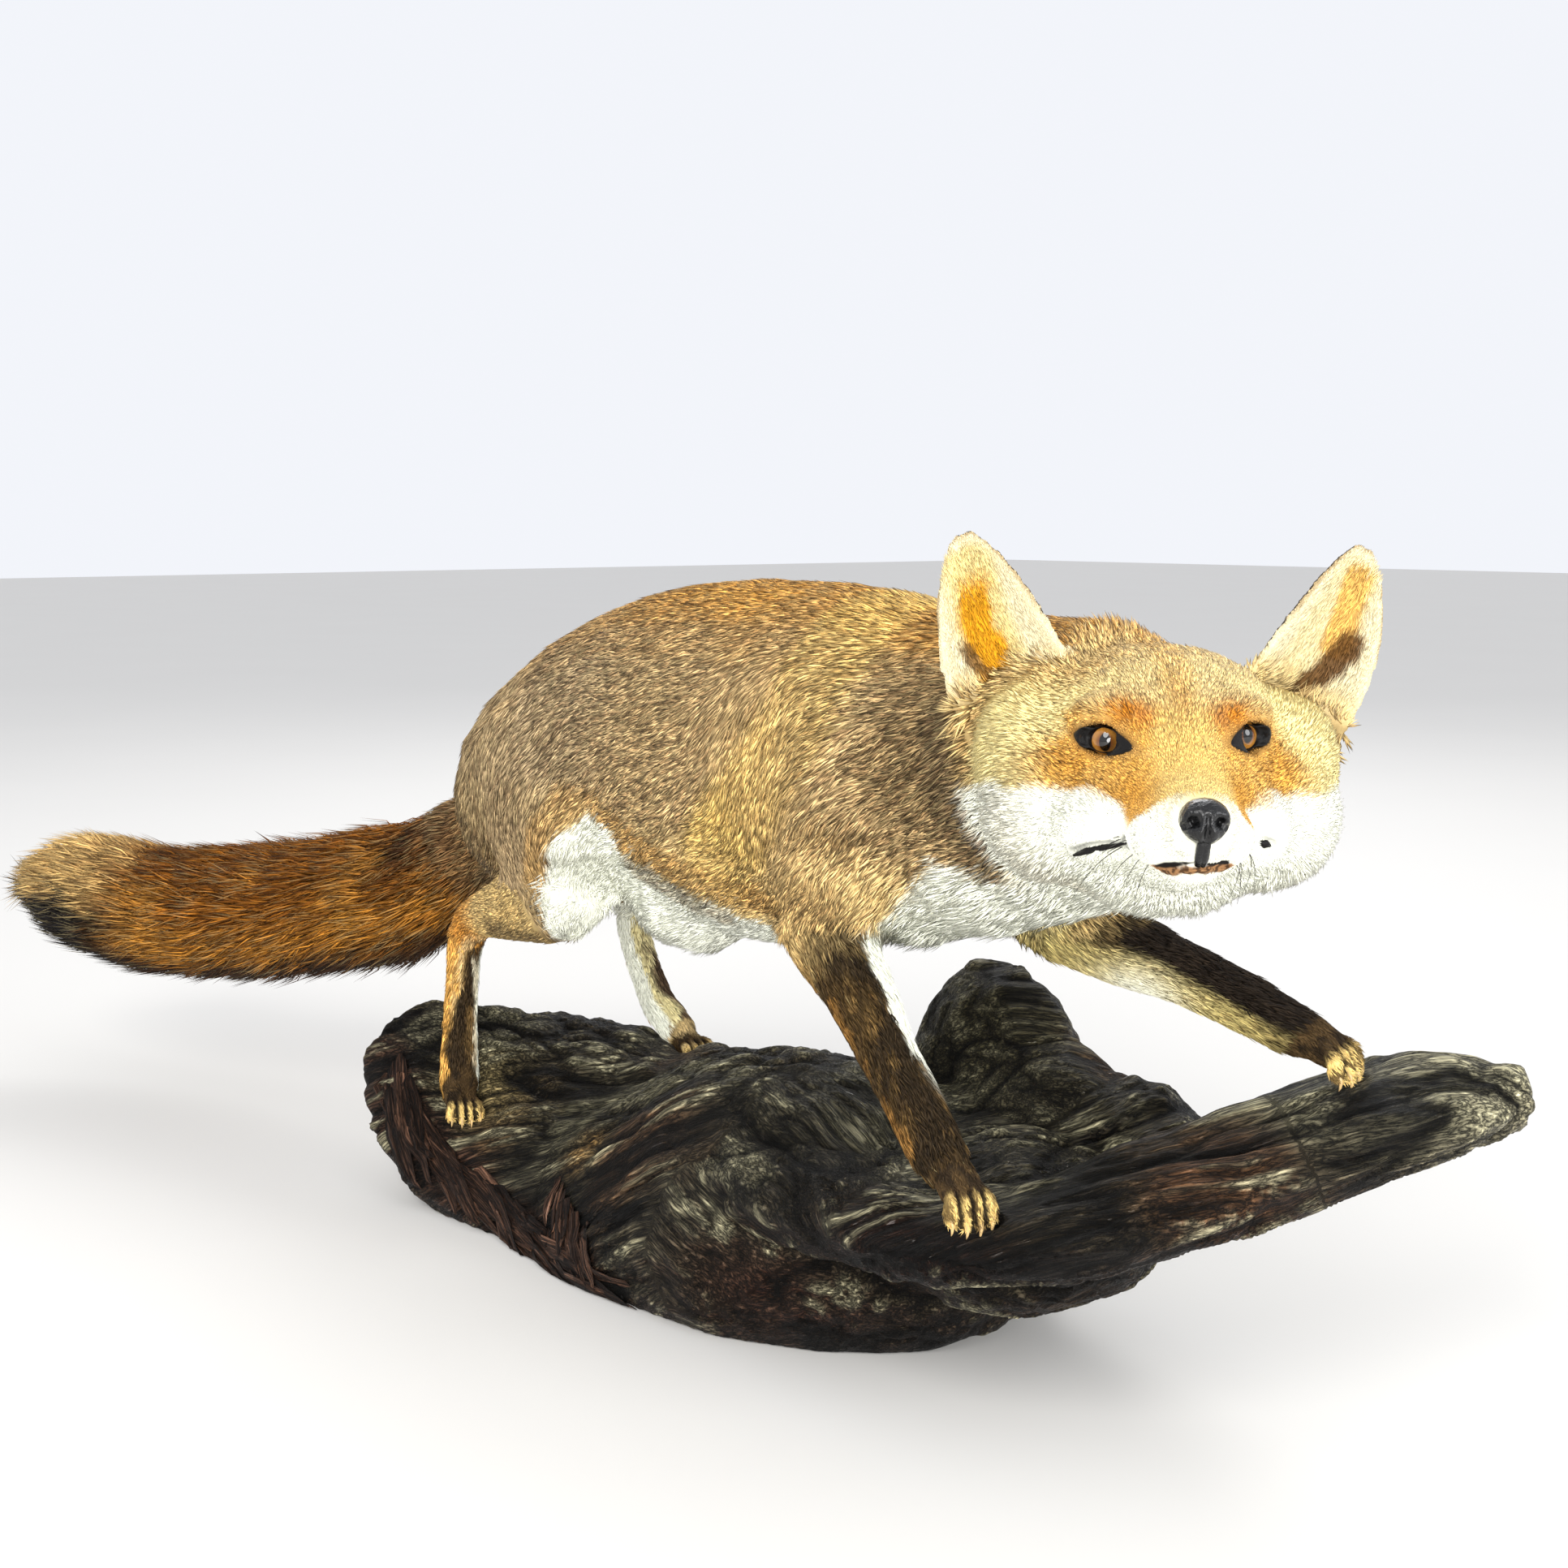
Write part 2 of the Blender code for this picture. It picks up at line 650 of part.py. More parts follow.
# ------------------------------------------------------------------ materials
COLOURS = {  # slot: base colour, roughness
    "coat_back": ((0.36, 0.25, 0.15), 0.85),
    "coat_head": ((0.66, 0.42, 0.20), 0.85),
    "coat_tail": ((0.42, 0.25, 0.10), 0.85),
    "coat_legs": ((0.10, 0.07, 0.05), 0.85),
    "coat_paws": ((0.50, 0.36, 0.20), 0.85),
    "coat_ears": ((0.80, 0.68, 0.45), 0.85),
    "eye_glass": ((0.30, 0.13, 0.03), 0.05),
    "nose_skin": ((0.02, 0.02, 0.02), 0.35),
    "wood": ((0.06, 0.05, 0.04), 0.70),
}


def material(slot):
    found = bpy.data.materials.get(slot)
    if found is None:
        found = bpy.data.materials.new(slot)
        found.use_nodes = True
        colour, roughness = COLOURS[slot]
        shader = found.node_tree.nodes["Principled BSDF"]
        shader.inputs["Base Color"].default_value = (*colour, 1.0)
        shader.inputs["Roughness"].default_value = roughness
        shader.inputs["Metallic"].default_value = 0.0
    return found


def paint(obj, slot):
    obj.data.materials.clear()
    obj.data.materials.append(material(slot))


# ------------------------------------------------------------------ assembly
HEAD_SHARE, LEG_SHARE, BODY_SHARE, PAW_SHARE = 0.0162, 0.0082, 0.0063, 0.029
WOOD_SHARE = 0.0185


def main():
    clear_scene()
    fox = collection("fox")
    helpers = collection("helpers")
    helpers.hide_render = True
    form = fox_form(helpers)
    form.hide_render = True
    fine = thinned(form, HEAD_SHARE, helpers)
    coarse = thinned(form, BODY_SHARE, helpers)
    limbs = thinned(form, LEG_SHARE, helpers)
    toes = thinned(form, PAW_SHARE, helpers)

    regions = {name: region_cutter(name, 0.0, helpers) for name in REGIONS}
    grown = {name: region_cutter(name, CUT, helpers) for name in REGIONS}

    trunk = object_of("trunk", coarse.copy(), fox)
    for name in REGIONS:
        cut(trunk, grown[name], "DIFFERENCE")
    neck = object_of("neck", fine.copy(), fox)
    cut(neck, regions["neck"], "INTERSECT")
    cut(neck, grown["head"], "DIFFERENCE")
    head = object_of("head", fine.copy(), fox)
    cut(head, regions["head"], "INTERSECT")
    tail = object_of("tail", coarse.copy(), fox)
    cut(tail, regions["tail"], "INTERSECT")
    cut(tail, grown["tail_tip"], "DIFFERENCE")
    tail_tip = object_of("tail_tip", coarse.copy(), fox)
    cut(tail_tip, regions["tail_tip"], "INTERSECT")

    for leg, paw in LEG_PAWS.items():
        limb = object_of(leg, limbs.copy(), fox)
        cut(limb, leg_cutter(leg, 0.0, helpers), "INTERSECT")
        cut(limb, paw_cutter(paw, CUT, helpers), "DIFFERENCE")
        if leg.startswith("hind"):
            cut(limb, grown["tail"], "DIFFERENCE")
        cut(trunk, leg_cutter(leg, CUT, helpers), "DIFFERENCE")
        if leg.startswith("fore"):
            cut(neck, leg_cutter(leg, CUT, helpers), "DIFFERENCE")
        foot = object_of(paw, toes.copy(), fox)
        cut(foot, paw_cutter(paw, 0.0, helpers), "INTERSECT")
        cut(foot, claws(paw, helpers), "UNION")
        paint(limb, "coat_legs")
        paint(foot, "coat_paws")

    seat = swollen(fine.copy(), "ear_seat", helpers)
    pad = nose(fox)
    for hole in nostrils(helpers):
        cut(pad, hole, "DIFFERENCE")
    paint(pad, "nose_skin")
    cut(head, swollen(evaluated(pad), "nose_seat", helpers), "DIFFERENCE")
    for side, hand in ((RIGHT, "right"), (LEFT, "left")):
        cut(head, eye_socket(side, helpers), "DIFFERENCE")
        paint(eye_ball(f"eye_{hand}", side, fox), "eye_glass")
    for side, hand in ((RIGHT, "right"), (LEFT, "left")):
        leaf = ear(f"ear_{hand}", side, fox)
        cut(leaf, seat, "DIFFERENCE")
        paint(leaf, "coat_ears")

    wood = driftwood(fox, helpers)
    for name in [*LEG_PAWS, *LEG_PAWS.values()]:
        foot = bpy.data.objects[name]
        cut(wood, swollen(evaluated(foot), f"{name}_print", helpers), "DIFFERENCE")
    paint(wood, "wood")
    paint(trunk, "coat_back")
    paint(neck, "coat_back")
    paint(head, "coat_head")
    paint(tail, "coat_tail")
    paint(tail_tip, "coat_tail")


main()
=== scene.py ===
"""Looks for the mounted red fox on driftwood: skin, coat, eyes, nose, claws, whiskers and wood."""

import math

import bmesh
import bpy
import numpy as np
from mathutils import Matrix, Vector
from mathutils.bvhtree import BVHTree


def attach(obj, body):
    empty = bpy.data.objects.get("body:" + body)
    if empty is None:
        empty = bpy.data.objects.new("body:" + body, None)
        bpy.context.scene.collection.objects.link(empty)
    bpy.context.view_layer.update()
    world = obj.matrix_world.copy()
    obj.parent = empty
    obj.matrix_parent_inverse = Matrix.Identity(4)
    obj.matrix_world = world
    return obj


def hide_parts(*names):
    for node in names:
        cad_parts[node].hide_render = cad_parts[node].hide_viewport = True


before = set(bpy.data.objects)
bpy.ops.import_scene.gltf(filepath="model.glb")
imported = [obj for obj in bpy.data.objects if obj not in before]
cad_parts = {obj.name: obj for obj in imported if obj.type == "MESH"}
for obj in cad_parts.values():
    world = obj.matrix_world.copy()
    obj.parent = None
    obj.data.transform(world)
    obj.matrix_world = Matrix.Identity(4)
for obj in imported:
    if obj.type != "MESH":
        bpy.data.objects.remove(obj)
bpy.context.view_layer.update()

# ------------------------------------------------------------------ the fox's own places and sizes
RIGHT, LEFT = -1, 1
HEAD = (
    Matrix.Translation((0.264, -0.052, 0.304))
    @ Matrix.Rotation(math.radians(-41.5), 4, "Z")
    @ Matrix.Rotation(math.radians(-3.0), 4, "Y")
    @ Matrix.Rotation(math.radians(-1.5), 4, "X")
)
EYE_AT = {  # each eye's centre in the head's frame
    RIGHT: Vector((-0.0022, -0.0230, -0.0012)),
    LEFT: Vector((-0.0022, 0.0220, 0.0014)),
}
EYE_RADIUS = 0.0083
EYE_OUTWARD, EYE_SLANT = math.radians(28), math.radians(5)
RIM_OUTER, RIM_INNER, RIM_TALL = 0.0122, 0.0165, 0.0054  # reach of the dark surround of an eye
NOSE_AT = Vector((0.0765, 0.0, -0.0225))

FLESH = [
    "trunk", "neck", "head", "tail", "tail_tip",
    "foreleg_left", "foreleg_right", "hind_leg_left", "hind_leg_right",
]
PAW_NODES = ["forepaw_left", "forepaw_right", "hindpaw_left", "hindpaw_right"]

# A guide is a line inside the body that the hair lies along: x, y, z and the body's radius there.
GUIDES = {
    "trunk": (
        (0.100, -0.009, 0.265, 0.066), (0.025, -0.010, 0.267, 0.079), (-0.035, -0.010, 0.262, 0.082),
        (-0.095, -0.011, 0.262, 0.079), (-0.148, -0.012, 0.254, 0.076), (-0.200, -0.014, 0.237, 0.072),
        (-0.242, -0.018, 0.218, 0.063), (-0.274, -0.022, 0.205, 0.044),
    ),
    "neck": ((0.212, -0.016, 0.288, 0.056), (0.165, -0.010, 0.280, 0.061), (0.110, -0.009, 0.272, 0.066)),
    "head": ((0.321, -0.104, 0.283, 0.008), (0.290, -0.076, 0.287, 0.020), (0.262, -0.050, 0.290, 0.036),
             (0.225, -0.016, 0.292, 0.047)),
    "tail": (
        (-0.270, -0.024, 0.194, 0.032), (-0.340, -0.052, 0.156, 0.042), (-0.405, -0.080, 0.137, 0.044),
        (-0.470, -0.108, 0.125, 0.045), (-0.535, -0.138, 0.120, 0.044), (-0.590, -0.166, 0.124, 0.041),
        (-0.640, -0.194, 0.127, 0.016),
    ),
    "hind_right": (
        (-0.205, -0.047, 0.258, 0.045), (-0.165, -0.061, 0.220, 0.042), (-0.140, -0.069, 0.190, 0.029),
        (-0.175, -0.071, 0.172, 0.020), (-0.222, -0.071, 0.160, 0.015), (-0.243, -0.071, 0.146, 0.013),
        (-0.240, -0.077, 0.118, 0.011), (-0.229, -0.086, 0.082, 0.011), (-0.218, -0.092, 0.062, 0.012),
        (-0.190, -0.099, 0.048, 0.008),
    ),
    "hind_left": (
        (-0.205, 0.024, 0.258, 0.045), (-0.160, 0.036, 0.222, 0.041), (-0.135, 0.045, 0.192, 0.029),
        (-0.172, 0.044, 0.176, 0.020), (-0.214, 0.038, 0.164, 0.015), (-0.229, 0.034, 0.150, 0.013),
        (-0.218, 0.031, 0.124, 0.011), (-0.194, 0.028, 0.098, 0.011), (-0.169, 0.026, 0.086, 0.012),
        (-0.140, 0.027, 0.075, 0.008),
    ),
    "fore_right": (
        (0.040, -0.040, 0.275, 0.042), (0.070, -0.052, 0.240, 0.034), (0.060, -0.053, 0.205, 0.025),
        (0.088, -0.056, 0.178, 0.018), (0.118, -0.060, 0.150, 0.014), (0.140, -0.064, 0.131, 0.014),
        (0.160, -0.068, 0.117, 0.013), (0.192, -0.078, 0.094, 0.008),
    ),
    "fore_left": (
        (0.060, 0.018, 0.270, 0.042), (0.110, 0.034, 0.235, 0.033), (0.118, 0.040, 0.206, 0.025),
        (0.152, 0.046, 0.193, 0.019), (0.190, 0.052, 0.184, 0.015), (0.222, 0.057, 0.175, 0.014),
        (0.240, 0.061, 0.168, 0.013), (0.268, 0.067, 0.154, 0.008),
    ),
}
LEGS = ("hind_right", "hind_left", "fore_right", "fore_left")
GUIDE_NAMES = [*GUIDES, "ear", "paw"]
G = {name: i for i, name in enumerate(GUIDE_NAMES)}  # each guide's column
BLEND = 0.010  # how far past a guide's own surface it still pulls on its neighbour's hair

# Coat: skin depth below the tips, hair length and width, lift in degrees, tufts per square metre.
COAT = {
    "trunk": (0.0034, 0.0128, 0.00095, 10, 430e3),
    "neck": (0.0038, 0.0140, 0.00100, 12, 430e3),
    "head": (0.0022, 0.0070, 0.00080, 13, 1000e3),
    "tail": (0.0095, 0.0320, 0.00105, 25, 400e3),
    "hind_right": (0.0024, 0.0080, 0.00085, 11, 600e3),
    "hind_left": (0.0024, 0.0080, 0.00085, 11, 600e3),
    "fore_right": (0.0022, 0.0082, 0.00085, 11, 600e3),
    "fore_left": (0.0022, 0.0082, 0.00085, 11, 600e3),
    "ear": (0.0004, 0.0030, 0.00060, 10, 1300e3),
    "paw": (0.0010, 0.0036, 0.00065, 12, 1100e3),
}
COAT_TABLE = np.array([COAT[name] for name in GUIDE_NAMES])
MOST_TUFTS = 280000
TUFT_FACES = 6
PIECE_FACES = 190000  # a coat piece with more is split
SKIN_FACES = 195000
NODE_GROWTH = 0.0007  # closes the thin cuts between the solids
BODY_VOXEL, FINE_VOXEL = 0.0026, 0.0019
EAR_WALL = 0.0034
ROOT_DEPTH = 0.0004  # how deep a tuft's root is in the skin
FAR = 9.0  # metres: farther than anything on the model

# The coat piece that each guide's hair belongs to.
COAT_PIECES = {
    "trunk": "coat_body", "neck": "coat_body", "head": "coat_head", "tail": "coat_tail",
    **dict.fromkeys(LEGS, "coat_legs"), "ear": "coat_ears", "paw": "coat_paws",
}

PAWS = {  # middle, the way the toes point, the way the back faces, size
    "forepaw_right": ((0.1735, -0.0700, 0.1085), (0.80, -0.28, -0.53), (0.50, -0.10, 0.86), 0.76),
    "forepaw_left": ((0.2520, 0.0640, 0.1645), (0.80, 0.15, -0.54), (0.54, 0.05, 0.82), 0.78),
    "hindpaw_right": ((-0.2128, -0.0940, 0.0552), (0.90, -0.25, -0.35), (0.35, 0.0, 0.94), 0.68),
    "hindpaw_left": ((-0.1590, 0.0262, 0.0802), (0.95, 0.08, -0.30), (0.30, 0.0, 0.95), 0.70),
}
TOES = (-1.5, -0.5, 0.5, 1.5)
TOE_SPREAD = 0.0074

LIP_LINE = (
    (0.0520, -0.0115, -0.0430), (0.0660, -0.0065, -0.0415), (0.0705, 0.0, -0.0405), (0.0660, 0.0065, -0.0400),
    (0.0570, 0.0115, -0.0398),
)
MOUTH_LINE = (
    (0.0540, -0.0110, -0.0400), (0.0680, -0.0055, -0.0385), (0.0725, 0.0, -0.0375), (0.0680, 0.0055, -0.0375),
    (0.0590, 0.0112, -0.0380),
)

EAR_BASE = Vector((-0.058, 0.053, 0.006))
EAR_TIP_WAY = {RIGHT: (-0.10, -0.37, 1.0), LEFT: (-0.10, 0.42, 1.0)}
EAR_FACES = {RIGHT: (0.92, -0.30, 0.0), LEFT: (0.90, 0.36, 0.0)}
EAR_LENGTH, EAR_HALF_WIDTH, EAR_CUP = 0.074, 0.0245, 0.017

CAMERA_AT = Vector((0.72, -0.59, 0.384))
CAMERA_TURN, CAMERA_DOWN, CAMERA_ANGLE = math.radians(52), math.radians(8), math.radians(45)


# ------------------------------------------------------------------ small tools
def unit(v):
    return v / np.maximum(np.linalg.norm(v, axis=-1, keepdims=True), 1e-9)


def dot(a, b):
    return (a * b).sum(-1)


def step(low, high, x):
    """0 below low, 1 above high and smooth between them."""
    t = np.clip((x - low) / (high - low), 0.0, 1.0)
    return t * t * (3 - 2 * t)


def linear(r, g, b):
    """Linear colour from its usual 0 to 255 numbers."""
    c = np.array((r, g, b)) / 255
    return np.where(c <= 0.04045, c / 12.92, ((c + 0.055) / 1.055) ** 2.4)


def lattice(cells, seed):
    """A steady random number from -1 to 1 for each whole-numbered cell."""
    h = cells[:, 0] * 374761393 + cells[:, 1] * 668265263 + cells[:, 2] * 2147483647 + seed * 974634777
    h = (h ^ (h >> 13)) * 1274126177
    h = h ^ (h >> 16)
    return (h & 0xFFFFFF) / float(0x7FFFFF) - 1.0


def noise(points, scale, seed=0):
    """Smooth noise from -1 to 1; scale is cells per metre, or one number for each axis."""
    q = points * np.asarray(scale)
    base = np.floor(q).astype(np.int64)
    f = q - base
    f = f * f * (3 - 2 * f)
    found = 0.0
    for dx in (0, 1):
        for dy in (0, 1):
            for dz in (0, 1):
                share = (f[:, 0] if dx else 1 - f[:, 0]) * (f[:, 1] if dy else 1 - f[:, 1])
                share = share * (f[:, 2] if dz else 1 - f[:, 2])
                found = found + share * lattice(base + (dx, dy, dz), seed)
    return found


def to_frame(points, matrix):
    m = np.array(matrix.inverted())
    return points @ m[:3, :3].T + m[:3, 3]


def from_frame(points, matrix):
    m = np.array(matrix)
    return points @ m[:3, :3].T + m[:3, 3]


def frame_along(at, forward, upward):
    """A frame at a point: x along forward, z as near to upward as that allows."""
    x = Vector(forward).normalized()
    y = Vector(upward).cross(x).normalized()
    return Matrix.Translation(Vector(at)) @ Matrix((x, y, x.cross(y))).transposed().to_4x4()


def link(name, mesh):
    obj = bpy.data.objects.new(name, mesh)
    bpy.context.scene.collection.objects.link(obj)
    return obj


def mesh_of(name, points, faces, smooth=True):
    """A mesh from an array of points and an array of equal-sided faces."""
    mesh = bpy.data.meshes.new(name)
    count, sides = faces.shape
    mesh.vertices.add(len(points))
    mesh.vertices.foreach_set("co", np.ascontiguousarray(points, np.float32).ravel())
    mesh.loops.add(count * sides)
    mesh.loops.foreach_set("vertex_index", np.ascontiguousarray(faces, np.int32).ravel())
    mesh.polygons.add(count)
    mesh.polygons.foreach_set("loop_start", np.arange(0, count * sides, sides, dtype=np.int32))
    mesh.polygons.foreach_set("use_smooth", np.full(count, smooth))
    mesh.update(calc_edges=True)
    mesh.validate()
    return mesh


def triples(rows, field):
    found = np.empty(len(rows) * 3, np.float32)
    rows.foreach_get(field, found)
    return found.reshape(-1, 3).astype(float)


def points_of(mesh):
    return triples(mesh.vertices, "co")


def normals_of(mesh):
    return triples(mesh.vertex_normals, "vector")


def set_points(mesh, points):
    mesh.vertices.foreach_set("co", np.ascontiguousarray(points, np.float32).ravel())
    mesh.update()


def tint(mesh, colours):
    """Keeps a colour on each point of the mesh."""
    layer = mesh.color_attributes.new("Coat", "FLOAT_COLOR", "POINT")
    full = np.ones((len(colours), 4), np.float32)
    full[:, :3] = colours
    layer.data.foreach_set("color", full.ravel())


def applied(obj):
    """Bakes the object's modifiers into its mesh."""
    bpy.context.view_layer.update()
    graph = bpy.context.evaluated_depsgraph_get()
    mesh = bpy.data.meshes.new_from_object(obj.evaluated_get(graph))
    obj.modifiers.clear()
    obj.data = mesh
    return obj


def keep_grain(mesh, places):
    """Keeps on each point of the mesh its place in the wood's run of fibres."""
    layer = mesh.attributes.new("Grain", "FLOAT_VECTOR", "POINT")
    layer.data.foreach_set("vector", np.ascontiguousarray(places, np.float32).ravel())


def fuse(obj, voxel):
    """Joins the solids of an object that overlap into one."""
    remesh = obj.modifiers.new("fuse", "REMESH")
    remesh.mode = "VOXEL"
    remesh.voxel_size = voxel
    return applied(obj)


def ball(shape, centre, radii, turn=None, segments=24):
    """Adds a ball, or an egg if its radii differ."""
    place = Matrix.Translation(Vector(centre))
    if turn is not None:
        place = place @ turn
    bmesh.ops.create_uvsphere(
        shape, u_segments=segments, v_segments=segments // 2, radius=1.0,
        matrix=place @ Matrix.Diagonal((*radii, 1.0)),
    )


def join_rings(shape, rings):
    """Skins a row of rings and closes its ends."""
    sides = len(rings[0])
    for low, high in zip(rings, rings[1:]):
        for k in range(sides):
            shape.faces.new((low[k], low[(k + 1) % sides], high[(k + 1) % sides], high[k]))
    shape.faces.new(rings[0][::-1])
    shape.faces.new(rings[-1])


def tube(shape, path, sides=10, place=None):
    """A closed tube of round rings; path holds x, y, z and radius."""
    place = place or Matrix.Identity(4)
    centres = [Vector(p[:3]) for p in path]
    rings = []
    for i, centre in enumerate(centres):
        ahead = centres[min(i + 1, len(path) - 1)] - centres[max(i - 1, 0)]
        turn = ahead.to_track_quat("X", "Z").to_matrix()
        ring = []
        for k in range(sides):
            angle = math.tau * k / sides
            offset = turn.col[1] * math.cos(angle) + turn.col[2] * math.sin(angle)
            ring.append(shape.verts.new(place @ (centre + offset * path[i][3])))
        rings.append(ring)
    join_rings(shape, rings)


def globe(polar, around):
    """Rings of points about +X: each one's angle from the axis, its direction and the faces between."""
    t, a = np.meshgrid(polar, np.linspace(0, math.tau, around, endpoint=False), indexing="ij")
    ways = np.stack((np.cos(t), np.sin(t) * np.cos(a), np.sin(t) * np.sin(a)), -1).reshape(-1, 3)
    index = np.arange(len(ways)).reshape(len(polar), around)
    faces = np.stack((index[:-1], index[1:], np.roll(index[1:], -1, 1), np.roll(index[:-1], -1, 1)), -1)
    return t.ravel(), ways, faces.reshape(-1, 4)


def closed_round(name, points, faces, extra=()):
    """A rounded solid from open rings, its two small holes filled, with any extra tubes joined on."""
    mesh = mesh_of(name, points, faces)
    shape = bmesh.new()
    shape.from_mesh(mesh)
    bmesh.ops.holes_fill(shape, edges=[e for e in shape.edges if e.is_boundary], sides=0)
    for path in extra:
        tube(shape, path, 12, HEAD)
    bmesh.ops.recalc_face_normals(shape, faces=shape.faces)
    shape.to_mesh(mesh)
    shape.free()
    mesh.polygons.foreach_set("use_smooth", np.full(len(mesh.polygons), True))
    return link(name, mesh)


def finished(name, shape, smooth=True):
    """The shape as an object, its faces turned outward."""
    bmesh.ops.recalc_face_normals(shape, faces=shape.faces)
    mesh = bpy.data.meshes.new(name)
    shape.to_mesh(mesh)
    shape.free()
    mesh.polygons.foreach_set("use_smooth", np.full(len(mesh.polygons), smooth))
    return link(name, mesh)


# ------------------------------------------------------------------ where a point is on the body
def read_guides(points):
    """For each point: distance past each guide's surface, the way along it and how far along it is."""
    past = np.full((len(points), len(GUIDE_NAMES)), FAR)
    way = np.zeros((len(points), len(GUIDE_NAMES), 3))
    along = np.zeros((len(points), len(GUIDE_NAMES)))
    for name, rows in GUIDES.items():
        g = G[name]
        rows = np.array(rows)
        lengths = np.linalg.norm(np.diff(rows[:, :3], axis=0), axis=1)
        starts = np.concatenate(([0], np.cumsum(lengths)))
        for i, length in enumerate(lengths):
            a, b = rows[i], rows[i + 1]
            line = (b[:3] - a[:3]) / length
            t = np.clip((points - a[:3]) @ line / length, 0, 1)
            gap = np.linalg.norm(points - a[:3] - np.outer(t * length, line), axis=1)
            gap = gap - (a[3] + t * (b[3] - a[3]))
            near = gap < past[:, g]
            past[near, g] = gap[near]
            way[near, g] = line
            along[near, g] = (starts[i] + t[near] * length) / starts[-1]
    return past, way, along


def paw_frame(name):
    at, forward, upward, size = PAWS[name]
    return frame_along(at, forward, upward) @ Matrix.Scale(size, 4)


def ear_frame(side):
    base = Vector((EAR_BASE.x, side * EAR_BASE.y, EAR_BASE.z))
    return HEAD @ frame_along(base, EAR_TIP_WAY[side], EAR_FACES[side])


def ear_half(along):
    """Half an ear's width at a share of its length."""
    return EAR_HALF_WIDTH * (1 - along**2.1) ** 0.72 + 0.0010


def ear_hollow(along, across):
    """How far an ear's middle sheet stands from its flat frame."""
    return 0.006 * np.sin(math.pi * along) - EAR_CUP * (1 - across**2) * (1 - 0.75 * along)


def ear_part(points):
    """1 on an ear and 0 elsewhere, with the point in that ear's frame."""
    share = np.zeros(len(points))
    local = np.zeros_like(points)
    for side in (RIGHT, LEFT):
        p = to_frame(points, ear_frame(side))
        along = np.clip(p[:, 0] / EAR_LENGTH, 0, 1)
        half = ear_half(along)
        sheet = ear_hollow(along, np.clip(p[:, 1] / half, -1, 1))
        on = step(0.0075, 0.0035, np.abs(p[:, 2] - sheet)) * step(0.0060, 0.0030, np.abs(p[:, 1]) - half)
        on = on * step(0.006, 0.018, p[:, 0]) * (p[:, 0] < 0.085)
        better = on > share
        local[better] = p[better]
        share = np.maximum(share, on)
    return share, local


def paw_part(points):
    """1 on a paw and 0 elsewhere."""
    share = np.zeros(len(points))
    for name in PAWS:
        p = to_frame(points, paw_frame(name))
        share = np.maximum(share, step(-0.022, -0.008, p[:, 0]) * (np.linalg.norm(p, axis=1) < 0.050))
    return share


def read_body(points, normals):
    """Everything the skin and the coat need to know about a point."""
    past, way, along = read_guides(points)
    head = to_frame(points, HEAD)
    pull = np.exp(-np.maximum(past, 0) / BLEND) * (past < FAR)
    pull[:, G["head"]] *= step(-0.110, -0.050, head[:, 0]) * 1.6
    ear, ear_local = ear_part(points)
    paw = paw_part(points)
    pull[:, : len(GUIDES)] *= ((1 - ear) * (1 - paw))[:, None]
    pull[:, G["ear"]] = ear * 3
    pull[:, G["paw"]] = paw * 3
    pull /= np.maximum(pull.sum(1, keepdims=True), 1e-9)

    turn = np.array(HEAD)[:3, :3]
    spread = head - np.array((0.105, 0.0, -0.026))
    spread[:, 2] *= 0.75
    back = unit(spread)
    back[:, 2] -= 0.25 * step(-0.02, -0.06, head[:, 0]) * step(0.0, -0.03, head[:, 2])
    way[:, G["head"]] = back @ turn.T
    for name, sag in (("trunk", 0.42), ("neck", 0.40)):
        way[:, G[name], 2] -= sag * np.abs(normals[:, 1]) ** 0.8
    ear_facing = np.zeros_like(points)
    for side in (RIGHT, LEFT):
        m = np.array(ear_frame(side))
        own = (head[:, 1] > 0) == (side > 0)
        way[own, G["ear"]] = m[:3, 0]
        ear_facing[own] = m[:3, 2]
    paw_way = np.zeros_like(points)
    nearest = np.full(len(points), FAR)
    for name in PAWS:
        m = np.array(paw_frame(name))
        gap = np.linalg.norm(points - m[:3, 3], axis=1)
        near = gap < nearest
        nearest[near] = gap[near]
        paw_way[near] = m[:3, 0]
    way[:, G["paw"]] = paw_way
    flow = (unit(way) * pull[:, :, None]).sum(1)
    flow = flow - normals * dot(flow, normals)[:, None]
    return {
        "at": points, "normal": normals, "pull": pull, "flow": unit(flow), "along": along,
        "head": head, "ear_local": ear_local, "ear_facing": ear_facing,
    }


def share_of(body, *names):
    """How much each point belongs to the named guides together."""
    return sum(body["pull"][:, G[name]] for name in names)


# ------------------------------------------------------------------ markings and painted shade
WHITE = linear(250, 251, 236)
CREAM = linear(222, 210, 174)
TAN = linear(214, 184, 122)
FLANK = linear(198, 170, 122)
GREY = linear(166, 146, 114)
RIDGE = linear(208, 154, 70)
ORANGE = linear(224, 168, 74)
BROW = linear(188, 114, 12)
BRIDGE = linear(226, 190, 112)
FOREHEAD = linear(222, 196, 136)
DARK = linear(62, 50, 38)
BLACK = linear(26, 21, 18)
BROWN = linear(104, 80, 56)
OCHRE = linear(152, 94, 26)
TAIL_TOP = linear(122, 72, 16)
BUFF = linear(234, 196, 126)
EAR_YELLOW = linear(216, 150, 0)
GUM = linear(176, 124, 72)


def near_line(points, stations, reach):
    """1 on the line through the stations, falling to 0 at reach."""
    rows = np.array(stations, float)
    best = np.full(len(points), FAR)
    for a, b in zip(rows, rows[1:]):
        line = b - a
        t = np.clip((points - a) @ line / (line @ line), 0, 1)
        best = np.minimum(best, np.linalg.norm(points - a - np.outer(t, line), axis=1))
    return 1 - step(reach * 0.5, reach, best)


